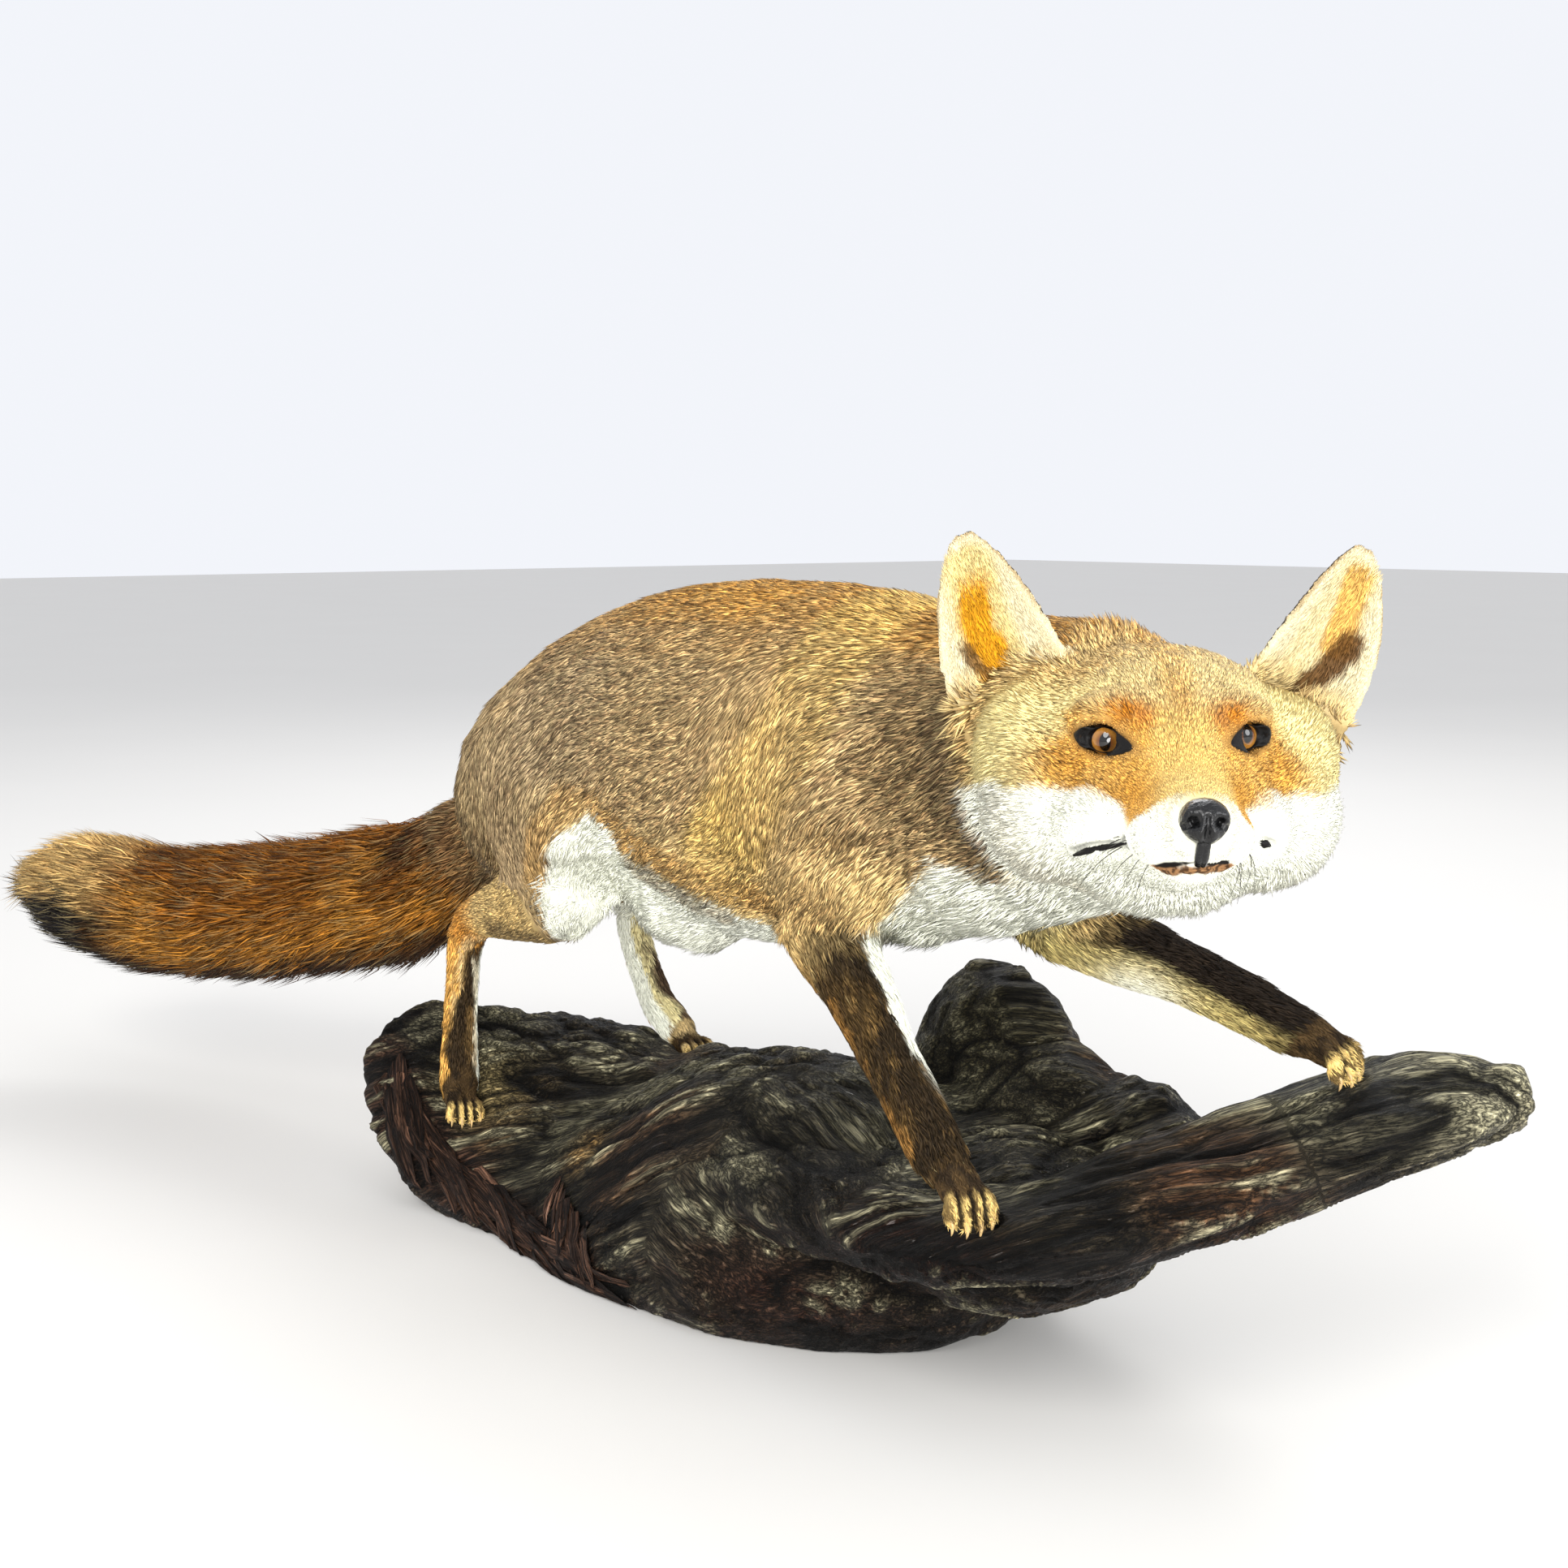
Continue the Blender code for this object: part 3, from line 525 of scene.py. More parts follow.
def near_point(points, at, radii):
    return np.exp(-((((points - np.array(at)) / np.array(radii)) ** 2).sum(1)))


class Paint:
    """Colours in layers, each laid over the last by a mask."""

    def __init__(self, count, colour):
        self.colour = np.tile(colour, (count, 1))

    def lay(self, colour, mask):
        self.colour = self.colour + (colour - self.colour) * np.clip(mask, 0, 1)[:, None]

    def patch(self, colour, points, at, radii, amount):
        """A soft round patch."""
        self.lay(colour, near_point(points, at, radii) * amount)

    def line(self, colour, points, stations, reach, amount):
        """A soft line through the stations."""
        self.lay(colour, near_line(points, stations, reach) * amount)


def eye_local(head, side):
    """A point in the frame of one eye: x out through the pupil, y to the outer corner, z up."""
    p = to_frame(head, eye_frame(side))
    p[:, 1] *= side
    return p


def eye_frame(side):
    turn = Matrix.Rotation(side * EYE_OUTWARD, 4, "Z") @ Matrix.Rotation(side * EYE_SLANT, 4, "X")
    return Matrix.Translation(EYE_AT[side]) @ turn


def almond(y, z):
    """0 in the middle of an eye's dark surround, 1 on its pointed outline and more beyond it."""
    across = np.abs(y) / np.where(y > 0, RIM_OUTER, RIM_INNER)
    tall = np.abs(z) / RIM_TALL
    return (across**1.5 + tall**1.5) ** (1 / 1.5)


def face_colour(body, wobble):
    """Markings of the head, in the head's own frame."""
    h = body["head"]
    x, y, z = h[:, 0] * 1000, h[:, 1] * 1000, h[:, 2] * 1000
    paint = Paint(len(h), FOREHEAD)
    paint.lay(linear(186, 156, 100), step(-35, -75, x) * step(-5, 15, z) * 0.8)
    paint.lay(linear(244, 228, 162), step(4, -14, x) * step(36, 12, z) * step(-66, -48, x) * 0.9)
    paint.lay(linear(168, 136, 84), step(-50, -72, x) * step(10, -10, z) * 0.8)
    orange = step(-22, -4, x + 3 * wobble) * step(54, 40, np.abs(y)) * step(15, 6, z + 0.10 * np.abs(x))
    paint.lay(ORANGE, orange * (0.80 + 0.18 * noise(h, 240, 15)))
    between = step(8, 26, x) * step(14, 7, np.abs(y) - 0.04 * x) * step(20, 6, z)
    paint.lay(BRIDGE, between * 0.9)
    paint.lay(FOREHEAD, step(4, -16, x) * step(12, 22, z) * 0.7)
    paint.lay(linear(222, 180, 104), step(28, 6, x) * step(9, 3, np.abs(y)) * step(2, 10, z) * 0.6)
    paint.patch(linear(196, 138, 62), h, (0.016, 0.0, 0.0150), (0.012, 0.004, 0.008), 0.5)
    for side in (RIGHT, LEFT):
        paint.patch(BROW, h, (0.014, side * 0.0190, 0.0090), (0.009, 0.0085, 0.0052), 0.95)
        paint.patch(linear(184, 104, 30), h, (0.020, side * 0.0125, 0.0065), (0.006, 0.004, 0.005), 0.6)
        paint.patch(ORANGE * (0.84, 0.76, 0.6), h, (0.038, side * 0.0190, -0.018), (0.018, 0.008, 0.008), 0.8)
        paint.patch(ORANGE * (0.92, 0.84, 0.7), h, (-0.002, side * 0.040, -0.010), (0.014, 0.014, 0.008), 0.8)
    stations = (-95, -45, -20, -1, 17, 28, 40, 49, 57, 67, 80)
    border = np.interp(x, stations, (-26, -21, -19, -21, -19, -22, -25, -29, -23, -15, -9))
    border = border + 1.5 * wobble - 4.0 * step(20, 5, np.abs(y)) * step(60, 40, x)
    white = step(2.0, -2.0, z - border) * step(-105, -80, x + 0.6 * np.abs(y))
    paint.lay(WHITE, white)
    paint.patch(linear(228, 212, 160), h, (0.072, 0.0, -0.0190), (0.010, 0.0150, 0.0110), 0.5)
    paint.patch(linear(222, 194, 122), h, (0.068, 0.0, -0.0125), (0.016, 0.0115, 0.0070), 0.95)
    for side in (RIGHT, LEFT):
        e = eye_local(h, side)
        out = almond(e[:, 1], e[:, 2])
        front = step(-0.002, 0.002, e[:, 0])
        paint.lay(linear(140, 96, 50), step(1.55, 1.05, out) * front * 0.6)
        paint.lay(BLACK, step(1.14, 0.98, out) * front)
        crease = (
            (0.004, side * 0.0325, 0.001), (-0.004, side * 0.0405, -0.003), (-0.009, side * 0.046, -0.007),
        )
        paint.line(DARK, h, crease, 0.0024, 0.8)
        tear = ((0.0165, side * 0.0180, -0.002), (0.0225, side * 0.0155, -0.0055))
        paint.line(BLACK, h, tear, 0.0024, 0.5)
        paint.line(BLACK, h, mouth_slit(side), 0.0042, 0.8)
    ragged = noise(h, 420, 6)
    lip = near_line(h, LIP_LINE, 0.0034 + 0.0012 * ragged)
    paint.lay(GUM, lip * 0.95)
    paint.lay(linear(60, 38, 22), lip * step(-0.15, 0.20, noise(h, 850, 9)) * 0.85)
    paint.lay(BLACK, near_line(h, MOUTH_LINE, 0.0015 + 0.0006 * ragged))
    return paint.colour


def mouth_slit(side):
    """The short dark opening at a corner of the mouth; the left one is hardly open."""
    if side == LEFT:
        return (0.0280, 0.0338, -0.0362), (0.0310, 0.0300, -0.0345)
    return (
        (0.0135, -0.0373, -0.0437), (0.0266, -0.0324, -0.0398),
        (0.0320, -0.0262, -0.0380), (0.0450, -0.0222, -0.0348),
    )


def ear_colour(body, wobble):
    """Ears: pale inside with an orange hollow, painted shade in a fold and in an opening low inside, dark
    behind.
    """
    p = body["ear_local"]
    x = p[:, 0] * 1000
    right = body["head"][:, 1] < 0
    inner = dot(body["normal"], unit(body["ear_facing"])) > -0.05
    along = np.clip(p[:, 0] / EAR_LENGTH, 0, 1)
    rim = np.abs(p[:, 1]) / ear_half(along)
    paint = Paint(len(p), CREAM)
    paint.lay(linear(226, 190, 116), step(22, 4, x) * 0.75)
    flat = p * (1, 1, 0)
    left = ~right
    hollow = near_line(flat, ((0.056, 0.001, 0), (0.036, 0.003, 0), (0.016, 0.002, 0)), 0.015)
    paint.lay(linear(222, 198, 128), hollow * np.where(right, 0.8, 0.35))
    yellow_line = ((0.053, 0.002, 0), (0.036, 0.0060, 0), (0.015, 0.0040, 0))
    yellow = near_line(flat, yellow_line, 0.0085 + 0.003 * wobble)
    paint.lay(EAR_YELLOW, yellow * right * step(0.058, 0.046, p[:, 0]) * 0.95)
    # Painted shade: a thin dark line along the fold low in the right ear.
    fold_shade_line = ((0.026, 0.0130, 0), (0.018, 0.0115, 0), (0.0105, 0.003, 0), (0.011, -0.006, 0))
    fold = near_line(flat, fold_shade_line, 0.0038)
    paint.lay(linear(112, 78, 38), fold * right * 0.9)
    streak = near_line(flat, ((0.058, -0.002, 0), (0.045, -0.004, 0), (0.032, -0.007, 0)), 0.0085)
    paint.lay(linear(222, 172, 84), streak * left * 0.9)
    # Painted shade: dark brown in the opening low in the left ear.
    opening_shade_line = ((0.034, -0.0115, 0), (0.024, -0.0095, 0), (0.012, -0.005, 0))
    opening_shade = near_line(flat, opening_shade_line, 0.0058 + 0.003 * wobble)
    paint.lay(linear(96, 62, 26), opening_shade * left * 0.95)
    edge = step(0.90, 1.0, rim) * step(0.30, 0.60, along) + step(0.955, 0.99, along)
    paint.lay(linear(176, 140, 84), np.clip(edge, 0, 1) * 0.6)
    back = linear(44, 34, 27) * (1 + 0.25 * wobble[:, None])
    paint.lay(back, (~inner) * step(8, 22, x + 2 * wobble))
    paint.lay(FOREHEAD * 0.9, (~inner) * step(24, 10, x))
    return paint.colour


def white_thigh(p):
    """The upright white patch on the front of each thigh."""
    x, z = p[:, 0], p[:, 2]
    heights = (0.155, 0.176, 0.191, 0.205, 0.222, 0.232, 0.240)
    back = np.interp(z, heights, (-0.139, -0.136, -0.134, -0.131, -0.122, -0.108, -0.098))
    front = np.interp(z, (0.170, 0.200, 0.226, 0.236), (-0.080, -0.078, -0.082, -0.094))
    return step(-0.0015, 0.0025, x - back) * step(0.0025, -0.0015, x - front) * step(0.239, 0.234, z)


THIGH_EDGE = (
    (-0.135, 0, 0.200), (-0.131, 0, 0.225), (-0.118, 0, 0.241), (-0.092, 0, 0.238), (-0.066, 0, 0.223),
    (-0.017, 0, 0.214), (0.031, 0, 0.208),
)


def body_colour(body, wobble, broad):
    """Markings of the trunk and neck, with painted shade low on the rump."""
    p, n = body["at"], body["normal"]
    x, z = p[:, 0], p[:, 2]
    side_on = np.sign(p[:, 1] + 0.01)
    flat = np.stack((x, 0 * x, z), 1)
    paint = Paint(len(p), FLANK)
    paint.lay(GREY, step(-0.03, -0.17, x + 0.03 * broad) * 0.85)
    paint.lay(linear(250, 220, 154), step(0.250, 0.215, z + 0.010 * broad) * 0.85)
    paint.lay(linear(156, 134, 98), step(-0.10, -0.14, x) * step(0.250, 0.215, z) * 0.85)
    paint.lay(linear(142, 120, 86), step(-0.17, -0.23, x) * 0.6)
    ridge = step(0.45, 0.95, n[:, 2]) * step(-0.30, -0.05, x)
    paint.lay(RIDGE, ridge * (0.85 + 0.2 * broad))
    stripe_line = ((0.078, 0, 0.335), (0.063, 0, 0.29), (0.040, 0, 0.26), (0.010, 0, 0.225))
    stripe = near_line(flat, stripe_line, 0.030)
    paint.lay(linear(228, 194, 112), stripe * (0.70 + 0.30 * broad))
    paint.lay(
        linear(146, 122, 84), step(0.080, 0.130, x) * step(0.235, 0.27, z) * step(0.8, 0.5, n[:, 2]) * 0.8
    )
    nape = near_line(flat, ((0.150, 0, 0.30), (0.160, 0, 0.265), (0.168, 0, 0.244)), 0.013)
    paint.lay(linear(92, 76, 54), nape * 0.7)
    paint.patch(linear(118, 100, 76), flat, (0.030, 0, 0.205), (0.012, 1, 0.020), 0.55)
    border = np.interp(
        x, (-0.30, -0.12, -0.086, -0.063, -0.030, 0.005, 0.030, 0.095, 0.115, 0.145, 0.175, 0.200),
        (0.150, 0.205, 0.222, 0.212, 0.204, 0.196, 0.186, 0.207, 0.222, 0.242, 0.240, 0.242),
    )
    border = border + 0.0035 * wobble
    paint.lay(linear(210, 164, 92), near_line(flat, THIGH_EDGE, 0.013) * (0.55 + 0.25 * broad))
    white = step(0.003, -0.003, z - border) * step(0.6, 0.25, n[:, 2])
    white = np.maximum(white * step(-0.088, -0.080, x), white_thigh(p) * (side_on * n[:, 1] > -0.5))
    inside = step(0.1, -0.3, side_on * n[:, 1]) * step(0.225, 0.200, z) * step(-0.18, -0.12, x)
    paint.lay(WHITE, np.maximum(white, inside))
    band = near_line(flat, ((-0.082, 0, 0.211), (-0.050, 0, 0.203), (-0.012, 0, 0.194)), 0.011)
    paint.lay(linear(164, 150, 116), band * (0.55 + 0.3 * broad) * step(-0.084, -0.074, x))
    rump = step(-0.235, -0.290, x)
    # Painted shade: darker brown low on the rump, under the tail's root.
    paint.lay(BROWN, rump * step(0.22, 0.19, z) * 0.6)
    return paint.colour


def tail_colour(body, wobble):
    """Patchy ochre, dark below, with a buff end and painted shade at its root."""
    s = body["along"][:, G["tail"]]
    up = body["normal"][:, 2]
    patchy = noise(body["at"], 45, 8)
    paint = Paint(len(s), OCHRE)
    paint.lay(TAIL_TOP, step(0.1, 0.8, up) * 0.6)
    paint.lay(linear(84, 52, 22), step(0.1, 0.6, patchy) * step(0.85, 0.6, s) * 0.45)
    paint.lay(
        linear(200, 144, 62), step(-0.1, -0.6, patchy) * step(-0.8, -0.3, up) * step(0.9, 0.4, up) * 0.5
    )
    paint.lay(linear(188, 130, 48), step(0.15, -0.30, up) * step(-0.85, -0.55, up) * 0.55)
    # Painted shade at the tail's root, where it meets the rump.
    paint.lay(linear(78, 52, 28), step(0.15, 0.02, s) * 0.6)
    spot = np.exp(-(((s - 0.13) / 0.05) ** 2 + ((up - 0.45) / 0.4) ** 2))
    paint.lay(BLACK * 1.5, spot * 0.8)
    paint.lay(BLACK * 1.4, step(-0.54, -0.82, up + 0.2 * wobble) * 0.9)
    end = step(0.66, 0.84, s + 0.04 * wobble)
    paint.lay(BUFF, end * step(-0.35, 0.15, up + 0.25 * wobble) * 0.9)
    paint.lay(BLACK * 1.2, step(0.66, 0.80, s + 0.04 * wobble) * step(0.26, -0.04, up + 0.25 * wobble))
    return paint.colour


def hind_leg(paint, p, s, sheen, streak, inward, which):
    """A grey thigh with its white patch; below the hock the two sides differ."""
    paint.lay(GREY, step(0.30, 0.10, s) * 0.8)
    paint.lay(linear(156, 134, 100), step(0.36, 0.26, s) * step(0.05, 0.15, s))
    flat = p * (1, 0, 1)
    paint.line(linear(104, 84, 58), flat, ((-0.19, 0, 0.156), (-0.140, 0, 0.156)), 0.012, 0.6)
    paint.line(linear(206, 164, 98), flat, THIGH_EDGE, 0.012, 0.5)
    paint.lay(WHITE, white_thigh(p))
    lower = step(0.50, 0.60, s)
    if which == "hind_right":
        paint.lay(linear(222, 170, 88), lower)
        paint.lay(linear(206, 140, 56), lower * step(0.68, 0.58, s) * 0.8)
        paint.lay(linear(240, 222, 170), lower * step(0.45, 0.15, np.abs(sheen)) * 0.5)
        low = 0.52 - 1.10 * step(0.68, 0.80, s)
        dark = step(0.58, 0.68, s) * step(low - 0.18, low + 0.18, sheen - 0.35 * streak)
        dark = dark * step(1.02, 0.96, s)
        paint.lay(linear(58, 45, 28), dark)
        paint.lay(linear(150, 118, 70), dark * step(0.1, 0.6, noise(p, (150, 150, 60), 18)) * 0.6)
        edge = step(0.52, 0.60, s) * step(0.90, 0.80, s) * step(0.80, 0.95, sheen)
        paint.lay(linear(236, 226, 196), edge)
        paint.patch(linear(72, 58, 44), p, (-0.236, -0.066, 0.140), (0.010, 0.008, 0.010), 0.7)
    else:
        paint.lay(linear(224, 212, 160), lower)
        dark = step(0.66, 0.74, s) * step(0.05, 0.5, sheen - 0.2 * streak)
        paint.lay(linear(84, 66, 48), dark)
        paint.lay(linear(170, 128, 78), lower * step(-0.5, -0.8, sheen) * 0.7)
    paint.lay(WHITE, step(0.40, 0.50, s) * step(0.62, 0.80, inward))


def foreleg(paint, p, s, sheen, streak, n, wobble, which):
    """A dark stocking with a little white or buff at its edge."""
    ahead = n[:, 0]
    paint.lay(linear(200, 168, 112), step(0.45, 0.25, s))
    top = 0.30 if which == "fore_right" else 0.40
    lower = step(top, top + 0.18, s + 0.05 * wobble)
    paint.lay(linear(66, 50, 26), lower)
    paint.lay(linear(36, 28, 18), lower * step(-0.1, 0.45, 0.5 * ahead + 0.8 * streak) * 0.75)
    paint.lay(linear(118, 92, 52), lower * step(0.1, 0.6, noise(p, (190, 190, 80), 18)) * 0.65)
    paint.lay(linear(134, 96, 46), lower * step(-0.82, -1.0, sheen + 0.25 * streak) * 0.7)
    if which == "fore_right":
        front = 0.22 + 0.30 * step(0.36, 0.66, s)
        edge = step(0.26, 0.34, s) * step(0.74, 0.60, s)
        paint.lay(WHITE, edge * step(front, front + 0.2, sheen + 0.1 * streak))
    else:
        paint.lay(linear(34, 26, 18), lower * step(-0.25, 0.25, n[:, 2] + 0.3 * ahead))
        under = step(0.25, -0.25, n[:, 2] - 0.3 * ahead)
        paint.lay(linear(200, 182, 116), under * step(0.20, 0.35, s) * step(0.90, 0.76, s) * 0.95)
        paint.lay(WHITE, near_point(p, (0.165, 0.040, 0.176), (0.022, 0.02, 0.012)) * under * 0.8)


def leg_colour(body, wobble, which):
    """Markings of one leg, from how far along it a point is and which way it faces."""
    p, n = body["at"], body["normal"]
    s = body["along"][:, G[which]]
    sheen = n[:, 0] * 0.62 + n[:, 1] * 0.79 + 0.15 * wobble
    streak = noise(p, (90, 90, 40), 17)
    paint = Paint(len(s), TAN)
    if which.startswith("hind"):
        inward = n[:, 1] if which.endswith("right") else -n[:, 1]
        hind_leg(paint, p, s, sheen, streak, inward, which)
    else:
        foreleg(paint, p, s, sheen, streak, n, wobble, which)
    return paint.colour


def paw_colour(body, wobble):
    """Dark paws with mottled pale toes and painted shade in the gaps between them."""
    p = body["at"]
    paint = Paint(len(p), linear(78, 60, 36))
    paint.lay(linear(38, 29, 19), step(-0.1, 0.35, noise(p, 260, 29)) * 0.85)
    toe, gap, tan = np.zeros(len(p)), np.zeros(len(p)), np.zeros(len(p))
    for name in PAWS:
        q = to_frame(p, paw_frame(name)) * 1000
        near = np.linalg.norm(q, axis=1) < 45
        across = q[:, 1] / (TOE_SPREAD * 1000)
        between = np.abs(across - np.round(across))
        start = 4.5 if name.startswith("fore") else 7.0
        toe = np.maximum(toe, near * step(start, start + 7, q[:, 0] + 2.5 * wobble))
        gap = np.maximum(gap, near * step(0.30, 0.16, between) * (np.abs(across) < 1.3) * step(0, 5, q[:, 0]))
        tan = np.maximum(tan, near * (name == "hindpaw_left"))
    paint.lay(linear(206, 180, 128), tan * step(-0.4, 0.3, wobble))
    mottled = noise(p, 330, 19)
    paint.lay(linear(246, 212, 134), toe * 0.95)
    paint.lay(linear(78, 56, 30), toe * step(-0.10, 0.25, mottled) * 0.85)
    # Painted shade in the gaps between the toes.
    paint.lay(linear(30, 23, 18), gap * 0.95)
    return paint.colour


def markings_and_shade(body):
    """Colour of the skin, or of the hair that grows there, at each point, painted shade included."""
    p = body["at"]
    wobble = noise(p, 160, 3)
    broad = noise(p, 28, 5)
    face = face_colour(body, wobble)
    trunk = body_colour(body, wobble, broad)
    layers = {
        "trunk": trunk, "neck": trunk, "head": face, "tail": tail_colour(body, wobble),
        "ear": ear_colour(body, wobble), "paw": paw_colour(body, wobble),
    }
    for which in LEGS:
        layers[which] = leg_colour(body, wobble, which)
    pull = body["pull"] ** 3
    pull /= pull.sum(1, keepdims=True)
    colour = sum(pull[:, G[name], None] * layers[name] for name in GUIDE_NAMES)
    h = body["head"]
    cheek = step(-0.082, -0.066, h[:, 0] + 0.004 * wobble) * (h[:, 2] > -0.075) * step(0.032, 0.016, h[:, 2])
    cheek = cheek * step(0.108, 0.096, np.linalg.norm(h, axis=1)) * (pull[:, G["neck"]] + pull[:, G["trunk"]])
    return colour + (face - colour) * cheek[:, None]


# ------------------------------------------------------------------ skin
def edges_of(mesh):
    found = np.empty(len(mesh.edges) * 2, np.int32)
    mesh.edges.foreach_get("vertices", found)
    return found.reshape(-1, 2)


def eased(points, edges, weight, rounds, keep_size=True):
    """Points drawn toward the mean of their neighbours, with the size kept if asked."""
    count = np.maximum(np.bincount(edges.ravel(), minlength=len(points)), 1)[:, None]
    for _ in range(rounds):
        for pull in ((0.5, -0.52) if keep_size else (0.5,)):
            total = np.stack(
                [
                    np.bincount(edges[:, 0], points[edges[:, 1], k], len(points))
                    + np.bincount(edges[:, 1], points[edges[:, 0], k], len(points))
                    for k in range(3)
                ],
                1,
            )
            points = points + (total / count - points) * (weight * pull)[:, None]
    return points


def grown_nodes(shape, names, by):
    """Adds the named solids to the shape, each grown by a little so that thin cuts close."""
    for name in names:
        part = bmesh.new()
        part.from_mesh(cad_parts[name].data)
        bmesh.ops.remove_doubles(part, verts=part.verts, dist=1e-5)
        part.normal_update()
        for vert in part.verts:
            vert.co += vert.normal * by
        mesh = bpy.data.meshes.new(name)
        part.to_mesh(mesh)
        part.free()
        shape.from_mesh(mesh)
        bpy.data.meshes.remove(mesh)


def toe_reach(number):
    """How far forward a toe reaches: the middle two go further."""
    return 0.0180 - 0.0028 * abs(number)


def add_paws(shape):
    """Paws with four toes each, and the wrist that joins each to its leg."""
    for name, (*_, size) in PAWS.items():
        place = paw_frame(name)
        turn = place.to_3x3().normalized().to_4x4()
        ball(shape, place @ Vector((-0.005, 0, -0.0005)), (0.0200 * size, 0.0124 * size, 0.0098 * size), turn)
        leg = GUIDES[name.replace("paw", "")]
        tube(shape, [(*leg[-3][:3], 0.0095), (*leg[-2][:3], 0.0100), (*place.translation, 0.0090 * size)], 14)
        for number in TOES:
            y = number * TOE_SPREAD
            reach = toe_reach(number)
            tube(
                shape,
                (
                    (-0.004, y * 0.72, 0.0020, 0.0036),
                    (0.004, y * 0.84, 0.0036, 0.0040),
                    (reach * 0.60, y * 0.98, 0.0044, 0.0040),
                    (reach * 0.90, y * 1.05, 0.0020, 0.0041),
                    (reach + 0.0025, y * 1.08, -0.0022, 0.0038),
                    (reach + 0.0050, y * 1.08, -0.0052, 0.0024),
                ),
                12,
                place,
            )


def leaf_point(along, across):
    """A point on an ear's middle sheet, in the ear's frame."""
    held = max(along, 0.0)
    return Vector((along * EAR_LENGTH, across * ear_half(held), ear_hollow(held, across)))


def ear_sheets(thickness):
    """Both ears as thin closed sheets rooted inside the head."""
    shape = bmesh.new()
    steps = 26
    for side in (RIGHT, LEFT):
        place = ear_frame(side)
        rows = []
        for i in range(steps + 1):
            along = -0.16 + 1.155 * i / steps
            row = (place @ leaf_point(along, 2 * k / steps - 1) for k in range(steps + 1))
            rows.append([shape.verts.new(spot) for spot in row])
        for low, high in zip(rows, rows[1:]):
            for k in range(steps):
                shape.faces.new((low[k], low[k + 1], high[k + 1], high[k]))
    obj = finished("ears", shape)
    wall = obj.modifiers.new("wall", "SOLIDIFY")
    wall.thickness = thickness
    wall.offset = 0.0
    return applied(obj)


def flesh_body():
    """The flesh as one eased solid, sunk by the depth of its hair."""
    shape = bmesh.new()
    grown_nodes(shape, FLESH, NODE_GROWTH)
    for side in (RIGHT, LEFT):
        ball(shape, HEAD @ (EYE_AT[side] + Vector((0.001, -side * 0.0005, 0.0))), (0.0100,) * 3)
    ball(shape, HEAD @ Vector((0.0680, 0.0, -0.0235)), (0.0090, 0.0085, 0.0085), HEAD.to_3x3().to_4x4())
    body = fuse(finished("body", shape), BODY_VOXEL)
    mesh = body.data
    points, edges = points_of(mesh), edges_of(mesh)
    found = read_body(points, normals_of(mesh))
    head_share = share_of(found, "head")
    legs = share_of(found, *LEGS)
    points = eased(points, edges, np.clip(1 - 0.55 * head_share - 0.2 * legs, 0.2, 1), 14)
    points = eased(points, edges, np.clip(1 - 1.2 * head_share - 1.2 * legs, 0, 1), 10, keep_size=False)
    set_points(mesh, points)
    normals = normals_of(mesh)
    found = read_body(points, normals)
    depth = found["pull"] @ COAT_TABLE[:, 0]
    for side in (RIGHT, LEFT):
        away = np.linalg.norm(found["head"] - EYE_AT[side][:] - np.array((0.008, 0, 0)), axis=1)
        depth = depth * (0.35 + 0.65 * step(0.008, 0.026, away))
    depth *= 0.45 + 0.55 * step(0.062, 0.040, found["head"][:, 0])
    set_points(mesh, eased(points - normals * depth[:, None], edges, np.full(len(points), 0.8), 3))
    return body


def whole_body():
    """The flesh fused with its paws and ears."""
    body = flesh_body()
    shape = bmesh.new()
    shape.from_mesh(body.data)
    add_paws(shape)
    ears = ear_sheets(EAR_WALL)
    shape.from_mesh(ears.data)
    bpy.data.objects.remove(ears)
    bpy.data.objects.remove(body)
    skin = fuse(finished("skin", shape), FINE_VOXEL)
    mesh = skin.data
    points, edges = points_of(mesh), edges_of(mesh)
    set_points(mesh, eased(points, edges, np.full(len(points), 0.9), 3))
    return skin


def build_skin():
    """The skin in one piece, finer on the muzzle and on the paws."""
    rough = whole_body()
    shape = bmesh.new()
    shape.from_mesh(rough.data)
    bpy.data.objects.remove(rough)
    to_head, muzzle = HEAD.inverted(), Vector((0.040, 0.0, -0.018))
    paws = [paw_frame(name).translation for name in PAWS]
    refine(shape, lambda at: (to_head @ at - muzzle).length < 0.078 and (to_head @ at).x > -0.02)
    refine(shape, lambda at: (to_head @ at - muzzle).length < 0.042 and (to_head @ at).x > 0.02)
    refine(shape, lambda at: any((at - paw).length < 0.030 for paw in paws))
    bmesh.ops.triangulate(shape, faces=[f for f in shape.faces if len(f.verts) > 4])
    skin = finished("skin", shape)
    mesh = skin.data
    points, edges = points_of(mesh), edges_of(mesh)
    head = to_frame(points, HEAD)
    fine = step(0.0, 0.02, head[:, 0])
    points = eased(points, edges, fine, 3)
    points = part_toes(points, normals_of(mesh))
    sculpt_face(skin, points)
    return thinned(skin)


def refine(shape, wanted):
    """Divides the faces whose middle is wanted."""
    near = [f for f in shape.faces if wanted(f.calc_center_median())]
    edges = list({e for f in near for e in f.edges})
    bmesh.ops.subdivide_edges(shape, edges=edges, cuts=1, use_grid_fill=True)


def thinned(skin):
    """Joins the skin's small faces wherever hair hides them."""
    skin.data.calc_loop_triangles()
    group = skin.vertex_groups.new(name="under_hair")
    head = to_frame(points_of(skin.data), HEAD)
    group.add(np.flatnonzero(head[:, 0] < 0.045).tolist(), 1.0, "REPLACE")
    thin = skin.modifiers.new("thin", "DECIMATE")
    thin.vertex_group = "under_hair"
    thin.ratio = min(1.0, SKIN_FACES / len(skin.data.loop_triangles))
    return applied(skin)


